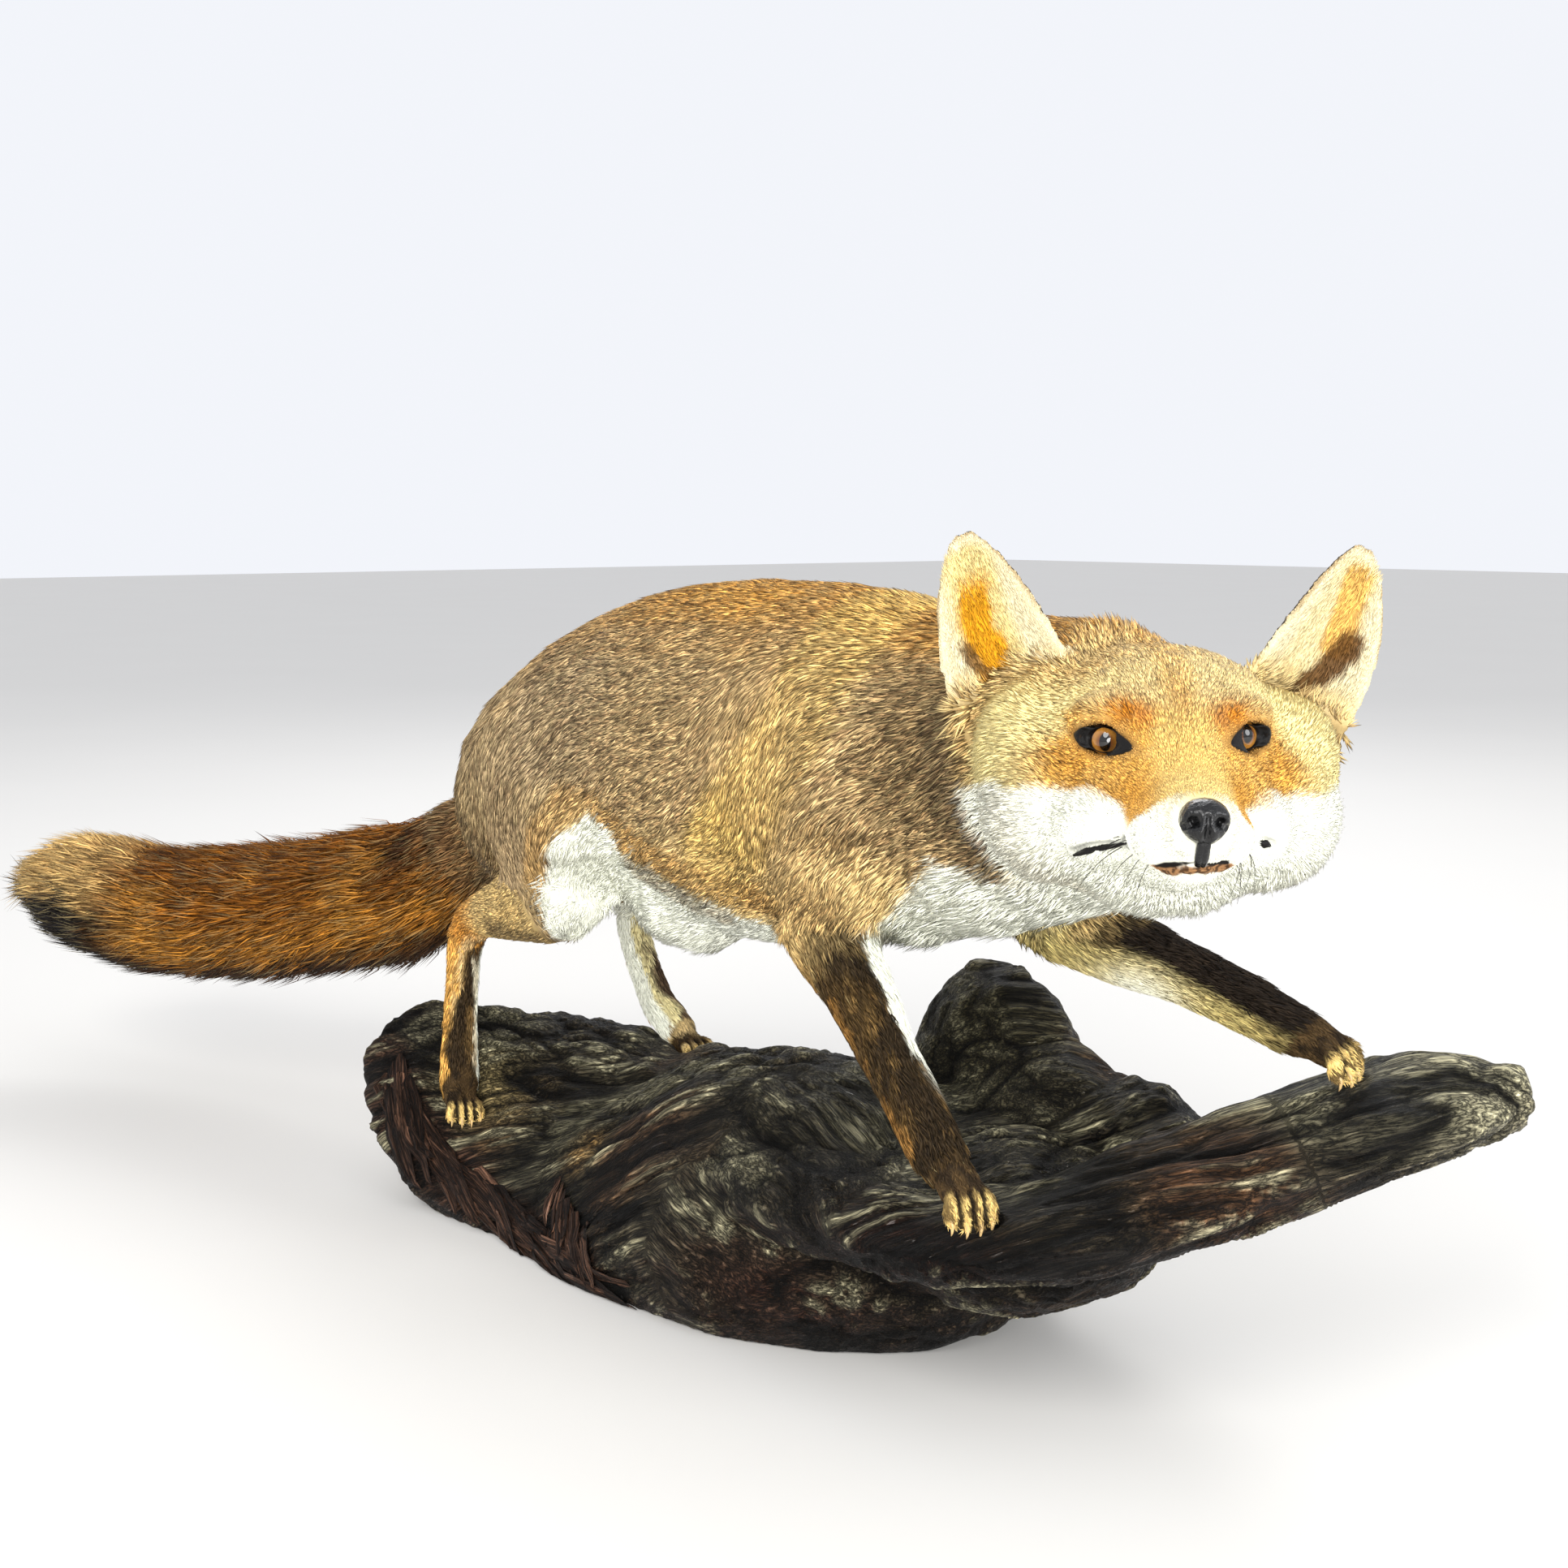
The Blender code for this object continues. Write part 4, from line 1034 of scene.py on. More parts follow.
def part_toes(points, normals):
    """Sinks the gaps between the toes."""
    for name in PAWS:
        q = to_frame(points, paw_frame(name))
        across = q[:, 1] / TOE_SPREAD
        gap = step(0.34, 0.08, np.abs(across - np.round(across))) * (np.abs(across) < 1.4)
        gap = gap * step(0.001, 0.007, q[:, 0]) * (np.linalg.norm(q, axis=1) < 0.038)
        points = points - normals * (0.0021 * gap)[:, None]
    return points


def sculpt_face(skin, points):
    """Sinks the eyes' openings, the mouth line and the groove below the nose."""
    head = to_frame(points, HEAD)
    for side in (RIGHT, LEFT):
        e = eye_local(head, side)
        out = np.hypot(e[:, 1] / 0.0086, e[:, 2] / 0.0062)
        sunk = step(1.05, 0.85, out) * (e[:, 0] > -0.004)
        push = np.minimum(e[:, 0], 0.001) - e[:, 0]
        axis = np.array(eye_frame(side))[:3, 0]
        head = head + (sunk * push)[:, None] * axis
        slit = near_line(head, mouth_slit(side), 0.0034)
        head[:, 1] -= side * 0.0030 * slit
        head[:, 0] -= 0.0015 * slit
        cheek = near_point(head, (0.045, side * 0.014, -0.029), (0.016, 0.009, 0.008))
        head[:, 1] += side * 0.0012 * cheek
    head[:, 0] -= 0.0022 * near_line(head, MOUTH_LINE, 0.0030)
    head[:, 0] += 0.0008 * near_line(head, LIP_LINE, 0.0030)
    groove = near_line(head, ((0.079, 0.0, -0.029), (0.076, 0.0, -0.0365)), 0.0030)
    head[:, 0] -= 0.0012 * groove
    set_points(skin.data, from_frame(head, HEAD))


def tree_of(obj):
    """A search tree of the object's surface, for the nearest point and for rays."""
    bpy.context.view_layer.update()
    return BVHTree.FromObject(obj, bpy.context.evaluated_depsgraph_get())


def lid_edges(angle):
    """At an angle round the eye: the opening's edge, then the dark surround's outline."""
    c, s = math.cos(angle), math.sin(angle)
    y0 = (0.0058 if c > 0 else 0.0070) * c
    z0 = 0.0045 * math.copysign(abs(s) ** 1.2, s)
    y1 = (RIM_OUTER if c > 0 else RIM_INNER) * math.copysign(abs(c) ** (4 / 3), c)
    z1 = RIM_TALL * math.copysign(abs(s) ** (4 / 3), s)
    return y0, z0, y1, z1


def eyelids(skin):
    """Dark lids: from under each opening's edge over the ball out to the surround's pointed outline."""
    tree = tree_of(skin)
    rows = (-0.10, 0.0, 0.08, 0.22, 0.40, 0.60, 0.80, 1.0, 1.28)  # 0 at the opening, 1 at the outline
    around = 88
    points, faces = [], []
    for side in (RIGHT, LEFT):
        place = HEAD @ eye_frame(side)
        inside = place.inverted()
        start = len(points)
        way = -(place.to_3x3() @ Vector((1, 0, 0)))

        def skin_height(y, z):
            hit = tree.ray_cast(place @ Vector((0.05, side * y, z)), way)[0]
            return (inside @ hit).x if hit is not None else 0.0

        for share in rows:
            for k in range(around):
                y0, z0, y1, z1 = lid_edges(math.tau * k / around)
                y, z = y0 + (y1 - y0) * share, z0 + (z1 - z0) * share
                over_ball = math.sqrt(EYE_RADIUS**2 - y0 * y0 - z0 * z0)
                if share <= 0:
                    high = math.sqrt(EYE_RADIUS**2 - y * y - z * z) + (0.0007 if share == 0 else -0.0003)
                elif share > 1:
                    high = skin_height(y, z) - 0.0014
                else:
                    ease = share * share * (3 - 2 * share)
                    edge = skin_height(y1 * 1.04, z1 * 1.04) + 0.0004
                    high = over_ball + 0.0012 + (edge - over_ball - 0.0012) * ease
                    if share > 0.3:
                        high = max(high, skin_height(y, z) + 0.0005)
                points.append(place @ Vector((high, side * y, z)))
        for row in range(start, start + (len(rows) - 1) * around, around):
            for k in range(around):
                a, b = row + k, row + (k + 1) % around
                faces.append((a, b, b + around, a + around) if side > 0 else (a, a + around, b + around, b))
    mesh = mesh_of("lids", np.array([p[:] for p in points]), np.array(faces))
    return link("lids", mesh)


def mouth_corners(skin):
    """The dark openings at the corners of the mouth, laid on the skin."""
    tree = tree_of(skin)
    shape = bmesh.new()
    for side, sizes in ((RIGHT, (0.0005, 0.0014, 0.0012, 0.0007, 0.0003)), (LEFT, (0.0006, 0.0017, 0.0004))):
        rows = np.array(mouth_slit(side))
        spots = np.linspace(0, len(rows) - 1, len(sizes))
        path = []
        for spot, size in zip(spots, sizes):
            at = Vector([np.interp(spot, range(len(rows)), rows[:, k]) for k in range(3)])
            out = Vector((0.8, side * 0.6, -0.15)).normalized()
            hit = tree.ray_cast(HEAD @ (at + out * 0.03), -(HEAD.to_3x3() @ out))[0]
            at = HEAD.inverted() @ hit if hit is not None else at
            at += out * 0.0007
            path.append((*at, size))
        tube(shape, path, 10, HEAD)
    return finished("mouth_corners", shape)


# ------------------------------------------------------------------ coat
def scatter(skin, rng):
    """Random points on the skin with its own shape's normals; denser where hair is finer."""
    mesh = skin.data
    mesh.calc_loop_triangles()
    corners = np.empty(len(mesh.loop_triangles) * 3, np.int32)
    mesh.loop_triangles.foreach_get("vertices", corners)
    corners = corners.reshape(-1, 3)
    points, normals = points_of(mesh), normals_of(mesh)
    a, b, c = (points[corners[:, k]] for k in range(3))
    area = np.linalg.norm(np.cross(b - a, c - a), axis=1) / 2
    middle = (a + b + c) / 3
    found = read_body(middle, unit(np.cross(b - a, c - a)))
    want = area * (found["pull"] @ COAT_TABLE[:, 4])
    front = step(0.02, 0.06, found["head"][:, 0]) * share_of(found, "head")
    want = want * (1 + 0.6 * front)
    want *= middle[:, 2] >= 0.0
    full = want.sum()
    count = int(min(full, MOST_TUFTS))
    chosen = np.searchsorted(np.cumsum(want) / full, rng.random(count))
    u, v = rng.random(count), rng.random(count)
    over = u + v > 1
    u[over], v[over] = 1 - u[over], 1 - v[over]
    w = 1 - u - v
    at = a[chosen] * u[:, None] + b[chosen] * v[:, None] + c[chosen] * w[:, None]
    n = normals[corners[chosen, 0]] * u[:, None] + normals[corners[chosen, 1]] * v[:, None]
    n = unit(n + normals[corners[chosen, 2]] * w[:, None])
    return at, n


def hair_sizes(body, rng):
    """Length, width and lift of each tuft."""
    table = body["pull"] @ COAT_TABLE
    length, width, lift = table[:, 1], table[:, 2], np.radians(table[:, 3])
    h = body["head"] * 1000
    x, z = h[:, 0], h[:, 2]
    on = share_of(body, "head")
    muzzle = step(18, 55, x)
    crown = step(-5, -40, x) * step(-10, 15, z)
    cheek = step(5, -45, x) * step(-8, -30, z)
    chin = step(40, 0, x) * step(-34, -50, z)
    face = 0.0056 - 0.0026 * muzzle + 0.0028 * crown + 0.0085 * np.maximum(cheek, chin * 0.7)
    length = length * (1 - on) + face * on
    lift = lift * (1 - 0.25 * on * muzzle) + np.radians(2) * on * np.maximum(cheek, chin)
    width = width * (1 - 0.22 * on * muzzle)
    ear = share_of(body, "ear")
    q = body["ear_local"]
    rim = np.abs(q[:, 1]) / ear_half(np.clip(q[:, 0] / EAR_LENGTH, 0, 1))
    middle = step(0.98, 0.70, rim) * step(EAR_LENGTH, 0.060, q[:, 0])
    inner = (dot(body["normal"], body["ear_facing"]) > 0) * ear
    length = length * (1 + 0.9 * inner * middle - 0.45 * ear * (1 - middle))
    for side in (RIGHT, LEFT):
        e = eye_local(body["head"], side)
        length = length * (0.22 + 0.78 * step(1.0, 2.2, almond(e[:, 1], e[:, 2]) + (e[:, 0] < -0.012)))
        length = length * (1 - 0.6 * near_line(body["head"], mouth_slit(side), 0.0150))
    length = length * (1 - 0.5 * near_line(body["head"], LIP_LINE, 0.0110))
    tail = share_of(body, "tail")
    s = body["along"][:, G["tail"]]
    length = length * (1 - 0.35 * tail * step(0.25, 0.0, s))
    p = body["at"]
    chest = step(0.06, 0.10, p[:, 0]) * step(-0.1, -0.6, body["normal"][:, 2]) * step(0.250, 0.225, p[:, 2])
    chest = chest * (share_of(body, "trunk", "neck") + 0.4 * on)
    length = length * (1 + 0.5 * chest)
    lift = lift + np.radians(6) * chest
    length = length * (0.78 + 0.44 * rng.random(len(length)))
    return length, width * (0.8 + 0.4 * rng.random(len(width))), lift


def bare(body):
    """True where no hair grows: the eyes, the nose pad and the mouth's lines."""
    h = body["head"]
    mask = np.zeros(len(h))
    for side in (RIGHT, LEFT):
        e = eye_local(h, side)
        mask = np.maximum(mask, (almond(e[:, 1], e[:, 2]) < 1.05) & (e[:, 0] > -0.008))
        mask = np.maximum(mask, near_line(h, mouth_slit(side), 0.0046) > 0.5)
    nose = np.linalg.norm((h - NOSE_AT) / (0.0086, 0.0084, 0.0078), axis=1)
    mask = np.maximum(mask, nose < 1.02)
    mask = np.maximum(mask, near_line(h, MOUTH_LINE, 0.0036) > 0.5)
    mask = np.maximum(mask, near_line(h, LIP_LINE, 0.0030) > 0.5)
    return mask > 0.5


def held_above(tree, points, least):
    """Points moved out along the skin's normal until each is at least its given height above it."""
    moved = points.copy()
    for i, point in enumerate(points):
        near, normal, _, _ = tree.find_nearest(point)
        if near is not None:
            short = least[i] - (Vector(point) - near).dot(normal)
            if short > 0:
                moved[i] += short * np.array(normal)
    return moved


def tuft_mesh(tree, name, body, sizes, tones, uv, rng):
    """Closed tapering tufts: a root, a ring of three and a fine tip, each in three tones."""
    at, normal, flow = body["at"], body["normal"], body["flow"]
    length, width, lift = sizes
    count = len(at)
    side = unit(np.cross(normal, flow))
    swing = 0.10 * rng.standard_normal(count) + 0.24 * noise(at, 55, 11) + 0.13 * noise(at, 190, 12)
    way = unit(flow + side * swing[:, None])
    side = unit(np.cross(normal, way))
    rise = lift * (1 + 0.45 * noise(at, 120, 13) + 0.25 * rng.standard_normal(count))
    rise = np.clip(rise, np.radians(3), np.radians(50))
    low = way * np.cos(rise)[:, None] + normal * np.sin(rise)[:, None]
    late = rise * 0.30
    high = way * np.cos(late)[:, None] + normal * np.sin(late)[:, None]
    bend = noise(at, 240, 14) * 0.20 + 0.10 * rng.standard_normal(count)
    high = unit(high + side * bend[:, None])
    root = at - normal * ROOT_DEPTH
    mid = root + low * (length * 0.45)[:, None]
    least = length * 0.45 * np.sin(rise) * 0.75
    mid = held_above(tree, mid, least)
    tip = held_above(tree, mid + high * (length * 0.55)[:, None], least * (0.75 + 0.5 * rng.random(count)))
    up = unit(np.cross(low, side)) * -1
    up = np.where(dot(up, normal)[:, None] < 0, -up, up)
    half = (width * 0.5)[:, None]
    under, over = up * half * 0.25, up * half * 0.55
    points = np.stack((root, mid + side * half - under, mid + over, mid - side * half - under, tip), 1)
    base = np.arange(count)[:, None, None] * 5
    faces = np.array([(0, 2, 1), (0, 3, 2), (0, 1, 3), (4, 1, 2), (4, 2, 3), (4, 3, 1)])
    mesh = mesh_of(name, points.reshape(-1, 3), (faces[None] + base).reshape(-1, 3))
    root_tone, mid_tone, tip_tone = tones
    tint(mesh, np.stack((root_tone, mid_tone, mid_tone, mid_tone, tip_tone), 1).reshape(-1, 3))
    layer = mesh.uv_layers.new(name="OFBake")
    spot = np.array(((-0.0012, 0), (0.0, -0.0010), (0.0, 0.0), (0.0, 0.0010), (0.0014, 0)))
    full = np.clip(uv, 0.003, 0.997)[:, None, :] + spot[None]
    full = full[:, faces.ravel()]
    layer.data.foreach_set("uv", np.ascontiguousarray(full, np.float32).ravel())
    return link(name, mesh)


def unwrap(body, region):
    """Places on a flat map of the body: around it and along it, region by region."""
    p, h = body["at"], body["head"]
    if region == "coat_body":
        u = (p[:, 0] + 0.30) / 0.56
        v = np.arctan2(p[:, 1] + 0.012, p[:, 2] - 0.255) / math.tau + 0.5
    elif region == "coat_head":
        q = h - (0.0, 0.0, -0.012)
        u = np.arccos(np.clip(unit(q)[:, 0], -1, 1)) / math.pi
        v = np.arctan2(q[:, 1], q[:, 2]) / math.tau + 0.5
    elif region == "coat_tail":
        u = body["along"][:, G["tail"]]
        rows = np.array(GUIDES["tail"][::-1])
        middle = [np.interp(p[:, 0], rows[:, 0], rows[:, k]) for k in (1, 2)]
        v = np.arctan2(p[:, 1] - middle[0], p[:, 2] - middle[1]) / math.tau + 0.5
    elif region == "coat_legs":
        which = np.argmax(np.stack([share_of(body, name) for name in LEGS], 1), 1)
        u = np.choose(which, [body["along"][:, G[name]] for name in LEGS])
        turn = np.arctan2(body["normal"][:, 1], body["normal"][:, 0]) / math.tau + 0.5
        v = (which + 0.02 + 0.96 * turn) / 4
    elif region == "coat_ears":
        q = body["ear_local"]
        side = (h[:, 1] > 0).astype(float)
        behind = (dot(body["normal"], body["ear_facing"]) < 0).astype(float)
        u = (np.clip(q[:, 0] / 0.080, 0, 1) * 0.96 + side) / 2
        v = (np.clip(q[:, 1] / 0.060 + 0.5, 0, 1) * 0.96 + behind) / 2
    else:
        u, v = np.zeros(len(p)), np.zeros(len(p))
        for i, name in enumerate(PAWS):
            q = to_frame(p, paw_frame(name))
            near = np.linalg.norm(q, axis=1) < 0.055
            u[near] = (np.clip((q[near, 0] + 0.03) / 0.07, 0, 1) * 0.96 + i % 2) / 2
            v[near] = ((np.arctan2(q[near, 1], q[near, 2]) / math.tau + 0.5) * 0.96 + i // 2) / 2
    return np.stack((u, v), 1)


def pale_share(colour):
    """0 on coloured hair and 1 on white."""
    return step(0.45, 0.70, dot(colour, np.array((0.3, 0.6, 0.1))))


def subset(body, keep):
    """What is known about the points kept."""
    return {key: value[keep] for key, value in body.items()}


def hair_tones(body, colour, rng):
    """Colours of each tuft's root, middle and tip, with dark and light tips among the coarser hair; the roots
    carry painted shade.
    """
    x, z = body["head"][:, 0], body["head"][:, 2]
    trunk, head = share_of(body, "trunk", "neck"), share_of(body, "head")
    tail, legs = share_of(body, "tail"), share_of(body, *LEGS)
    pale = pale_share(colour)
    ticked = head * step(0.012, -0.004, x) * step(-0.020, 0.0, z)
    smooth = head * step(0.004, 0.022, x)
    calm = (1 - 0.70 * pale) * (1 - 0.45 * smooth)
    spread = 0.17 + 0.19 * trunk + 0.10 * ticked + 0.20 * tail + 0.14 * legs
    shade = np.exp(rng.standard_normal(len(x)) * spread * calm)
    shade *= 1 + 0.22 * noise(body["at"], 260, 21) * (1 - 0.6 * pale)
    draw = rng.random(len(x))
    banded = (trunk * 0.50 + head * 0.06 + 0.22 * ticked + 0.30 * tail + 0.16 * legs) * (1 - pale)
    banded = banded * step(-0.6, 0.0, body["normal"][:, 2] + 0.5)
    dark_tip = draw < banded
    light_tip = (draw > 1 - banded * 0.8 * (1 - legs)) & ~dark_tip
    base = colour * np.clip(shade, 0.35, 1.8)[:, None]
    # Painted shade: the roots are darker, less so on white hair and on the smooth muzzle.
    root = base * np.clip(0.42 + 0.50 * pale + 0.40 * smooth, 0, 0.95)[:, None]
    tip = base * 1.10
    tip[dark_tip] = base[dark_tip] * 0.12
    base[dark_tip] *= (0.70, 0.64, 0.62)
    tip[light_tip] = base[light_tip] * 0.75 + linear(244, 222, 160) * 0.45
    return root, base, tip


def grow_coat(skin):
    """The coat, in pieces by region: each piece's region and its object."""
    rng = np.random.default_rng(7)
    body = read_body(*scatter(skin, rng))
    colour = markings_and_shade(body)
    keep = ~bare(body)
    body, colour = subset(body, keep), colour[keep]
    length, width, lift = hair_sizes(body, rng)
    tree = tree_of(skin)
    width = width * (1 - 0.22 * step(0.60, 0.85, dot(colour, np.array((0.2, 0.3, 0.5)))))
    tones = hair_tones(body, colour, rng)
    region = np.array([COAT_PIECES[name] for name in GUIDE_NAMES])[np.argmax(body["pull"], 1)]
    pieces = []
    for name in dict.fromkeys(COAT_PIECES.values()):
        here = np.flatnonzero(region == name)
        here = here[np.argsort(body["at"][here, 0])]
        parts = max(1, math.ceil(len(here) * TUFT_FACES / PIECE_FACES))
        for i, own in enumerate(np.array_split(here, parts)):
            part = subset(body, own)
            sizes, own_tones = (length[own], width[own], lift[own]), [tone[own] for tone in tones]
            own_name = name if parts == 1 else f"{name}_{i + 1}"
            piece = tuft_mesh(tree, own_name, part, sizes, own_tones, unwrap(part, name), rng)
            pieces.append((name, piece))
    return pieces


# ------------------------------------------------------------------ eyes, nose, claws, whiskers
def glass_eye(name, side):
    """A glass eye: a ball with a low cornea, amber iris, dark rim and upright pupil."""
    outward, down = {RIGHT: (19, 6), LEFT: (27, -9)}[side]
    turn = Matrix.Rotation(side * math.radians(outward), 4, "Z") @ Matrix.Rotation(math.radians(down), 4, "Y")
    place = HEAD @ Matrix.Translation(EYE_AT[side]) @ turn
    polar = np.concatenate((np.linspace(0.004, 0.9, 72), np.linspace(0.95, math.pi - 0.02, 20)))
    angle, ways, faces = globe(polar, 64)
    flat = ways * (EYE_RADIUS * (1 + 0.055 * np.exp(-((angle / 0.42) ** 2))))[:, None]
    glass = closed_round(name, from_frame(flat, place), faces)
    y, z = flat[:, 1], flat[:, 2]
    r = np.hypot(y, z)
    spoke = np.arctan2(z, y)
    fibre = noise(np.stack((np.cos(spoke) * 3, np.sin(spoke) * 3, r * 120), 1), 5.0, 31)
    paint = Paint(len(flat), linear(122, 80, 30))
    paint.lay(linear(164, 112, 44), step(0.0030, 0.0044, r) * (0.6 + 0.4 * fibre))
    paint.lay(linear(92, 50, 24), step(0.0036, 0.0024, r) * 0.8)
    paint.lay(linear(22, 13, 9), step(0.0052, 0.0054, r))
    paint.lay(linear(96, 58, 36), step(0.0062, 0.0072, r) * 0.5)
    pupil = np.hypot(y / 0.0021, z / 0.0034)
    paint.lay(linear(5, 4, 4), step(1.12, 0.92, pupil) * (flat[:, 0] > 0))
    tint(glass.data, paint.colour)
    return glass


def nose_pad():
    """The bare nose: a rounded pad with side-opening nostrils and a groove down its middle."""
    _, ways, faces = globe(np.linspace(0.02, math.pi - 0.02, 90), 120)
    p = np.sign(ways) * np.abs(ways) ** 0.90 * (0.0086, 0.0082, 0.0076)
    p[:, 1] *= 1 - 0.16 * step(0.0, -0.0084, p[:, 2])
    for side in (RIGHT, LEFT):
        pit = near_point(p, (0.0070, side * 0.0040, 0.0002), (0.0030, 0.0018, 0.0017))
        p[:, 0] -= 0.0046 * pit
        notch = (
            (0.0068, side * 0.0046, 0.0), (0.0050, side * 0.0068, -0.0014), (0.0025, side * 0.0082, -0.0024),
        )
        comma = near_line(p, notch, 0.0018)
        p = p * (1 - 0.16 * comma[:, None])
        wing = near_point(p, (0.0060, side * 0.0068, 0.0028), (0.0040, 0.0024, 0.0026))
        p = p * (1 + 0.06 * wing[:, None])
    groove = np.exp(-((p[:, 1] / 0.0009) ** 2)) * step(0.0042, 0.0015, p[:, 2]) * (p[:, 0] > 0)
    p[:, 0] -= 0.0011 * groove
    lips = np.exp(-(((np.abs(p[:, 1]) - 0.0024) / 0.0012) ** 2)) * step(0.003, -0.002, p[:, 2])
    p[:, 0] += 0.0008 * lips * (p[:, 0] > 0)
    p = p + unit(p) * (0.00008 * noise(p, 2200, 41) + 0.00014 * noise(p, 800, 42))[:, None]
    # The dark strip of bare skin from the nose down to the lips.
    strip = [
        (
            (0.0790, y, -0.0255, 0.0019), (0.0782, y, -0.0300, 0.0017),
            (0.0752, y, -0.0345, 0.0018), (0.0728, y, -0.0374, 0.0014),
        )
        for y in (-0.0007, 0.0007)
    ]
    return closed_round("nose_pad", from_frame(p + NOSE_AT, HEAD), faces, strip)


def claws():
    """A curved, tapering claw on each toe."""
    shape = bmesh.new()
    for name in PAWS:
        place = paw_frame(name)
        for number in TOES:
            y = number * TOE_SPREAD * 1.08
            reach = toe_reach(number) + 0.0035
            tube(
                shape,
                (
                    (reach - 0.0020, y, 0.0000, 0.0015), (reach + 0.0008, y, -0.0008, 0.00140),
                    (reach + 0.0034, y, -0.0032, 0.00115), (reach + 0.0048, y, -0.0060, 0.0007),
                    (reach + 0.0052, y, -0.0082, 0.0002),
                ),
                9,
                place,
            )
    return finished("claws", shape)


def whiskers():
    """Nine stiff hairs on each side, in three rows, swept back."""
    rng = np.random.default_rng(3)
    shape = bmesh.new()
    for side in (RIGHT, LEFT):
        for i in range(9):
            row, column = i % 3, i // 3
            root = np.array(
                (0.056 - 0.009 * column, side * (0.0120 + 0.0048 * column), -0.0305 - 0.0030 * row)
            )
            way = np.array((-0.75 - 0.18 * column, side * 0.62, -0.05 - 0.22 * row))
            way = unit(way + 0.10 * rng.standard_normal(3))
            length = 0.022 + 0.008 * column + 0.008 * rng.random()
            path = []
            for k in range(9):
                t = k / 8
                q = root + way * length * t + np.array((-0.020, -side * 0.006, -0.012)) * t * t
                path.append((*q, 0.00016 * (1 - 0.8 * t) + 0.00003))
            tube(shape, path, 5, HEAD)
    return finished("whiskers", shape)


# ------------------------------------------------------------------ driftwood
GRAIN_RUNS = (  # middle, reach, the way the fibres run
    ((-0.20, -0.07, 0.05), 0.090, (0.80, 0.42, 0.42)),
    ((-0.06, -0.05, 0.05), 0.085, (0.72, 0.30, 0.60)),
    ((0.05, -0.08, 0.06), 0.070, (0.85, -0.10, -0.30)),
    ((0.20, -0.03, 0.09), 0.080, (0.62, 0.66, 0.32)),
    ((0.29, 0.11, 0.14), 0.070, (0.55, 0.82, 0.10)),
    ((0.06, -0.06, 0.02), 0.070, (0.95, 0.15, 0.05)),
)


def grain_places(points):
    """The wood's separate runs of fibres: each run's places, drawn together along it, and its share."""
    warp = np.stack([noise(points, 14, 51 + k) for k in range(3)], 1) * 0.0090
    warp += np.stack([noise(points, 46, 55 + k) for k in range(3)], 1) * 0.0022
    q = points + warp
    places, shares = [], []
    for k, (middle, reach, line) in enumerate(GRAIN_RUNS):
        line = np.array(line) / np.linalg.norm(line)
        places.append(q - line * (q @ line)[:, None] * 0.94 + 0.3 * k)
        away = (((points - middle) / reach) ** 2).sum(1)
        shares.append(np.exp(-3 * away + 0.9 * noise(points, 30, 70 + k)))
    # The broken stub's fibres bend over its top.
    stub = step(1.25, 0.85, np.linalg.norm((points - (0.079, 0.042, 0.110)) / (0.070, 0.050, 0.075), axis=1))
    stub = stub * step(0.075, 0.105, points[:, 2])
    r = points + 0.25 * warp - (0.060, 0.060, 0.060)
    across = r @ np.array((0.616, 0.788, 0.0))
    deep = r @ np.array((-0.788, 0.616, 0.0))
    turn = np.arctan2(r[:, 2], across)
    places.append(np.stack((np.hypot(across, r[:, 2]) * 1.1, deep, turn * 0.004), 1))
    shares = np.array(shares) + 1e-30
    shares = shares / shares.sum(0) * (1 - stub)
    return places, np.concatenate((shares, stub[None]))


def fibres(places, shares, scale, seed, sharp):
    """Grooves along the fibres: 0 in a groove and 1 between them."""
    total = 0.0
    for place, share in zip(places, shares):
        here = share > 0.01
        groove = np.ones(len(share))
        groove[here] = np.minimum(np.abs(noise(place[here], scale, seed)) * sharp, 1.0)
        total = total + share * groove
    return total


SPLINTER_EDGE = (
    (-0.268, -0.112, 0.066), (-0.243, -0.122, 0.052), (-0.207, -0.118, 0.030), (-0.162, -0.116, 0.014),
    (-0.107, -0.112, 0.006), (-0.060, -0.110, 0.004),
)
STAINS_AND_SHADE = (  # colour, middle, reach and strength of each darker and each paler patch; the first is painted shade
    # Painted shade under the ledge's overhang, over dark brown wood.
    ((24, 13, 8), (0.175, -0.084, 0.080), (0.085, 0.040, 0.026), 1.3),
    ((60, 36, 20), (0.235, 0.015, 0.115), (0.035, 0.050, 0.018), 0.7),
    ((52, 26, 18), (0.060, -0.090, 0.030), (0.055, 0.040, 0.022), 0.7),
    ((44, 41, 27), (0.080, 0.035, 0.140), (0.05, 0.04, 0.045), 0.8),
    ((30, 23, 17), (-0.200, -0.012, 0.090), (0.060, 0.030, 0.022), 0.7),
    ((150, 132, 88), (-0.205, -0.080, 0.060), (0.030, 0.020, 0.02), 0.55),
    ((156, 116, 56), (-0.107, -0.078, 0.051), (0.014, 0.012, 0.01), 0.6),
    ((156, 150, 122), (0.300, 0.118, 0.150), (0.050, 0.050, 0.03), 0.75),
)


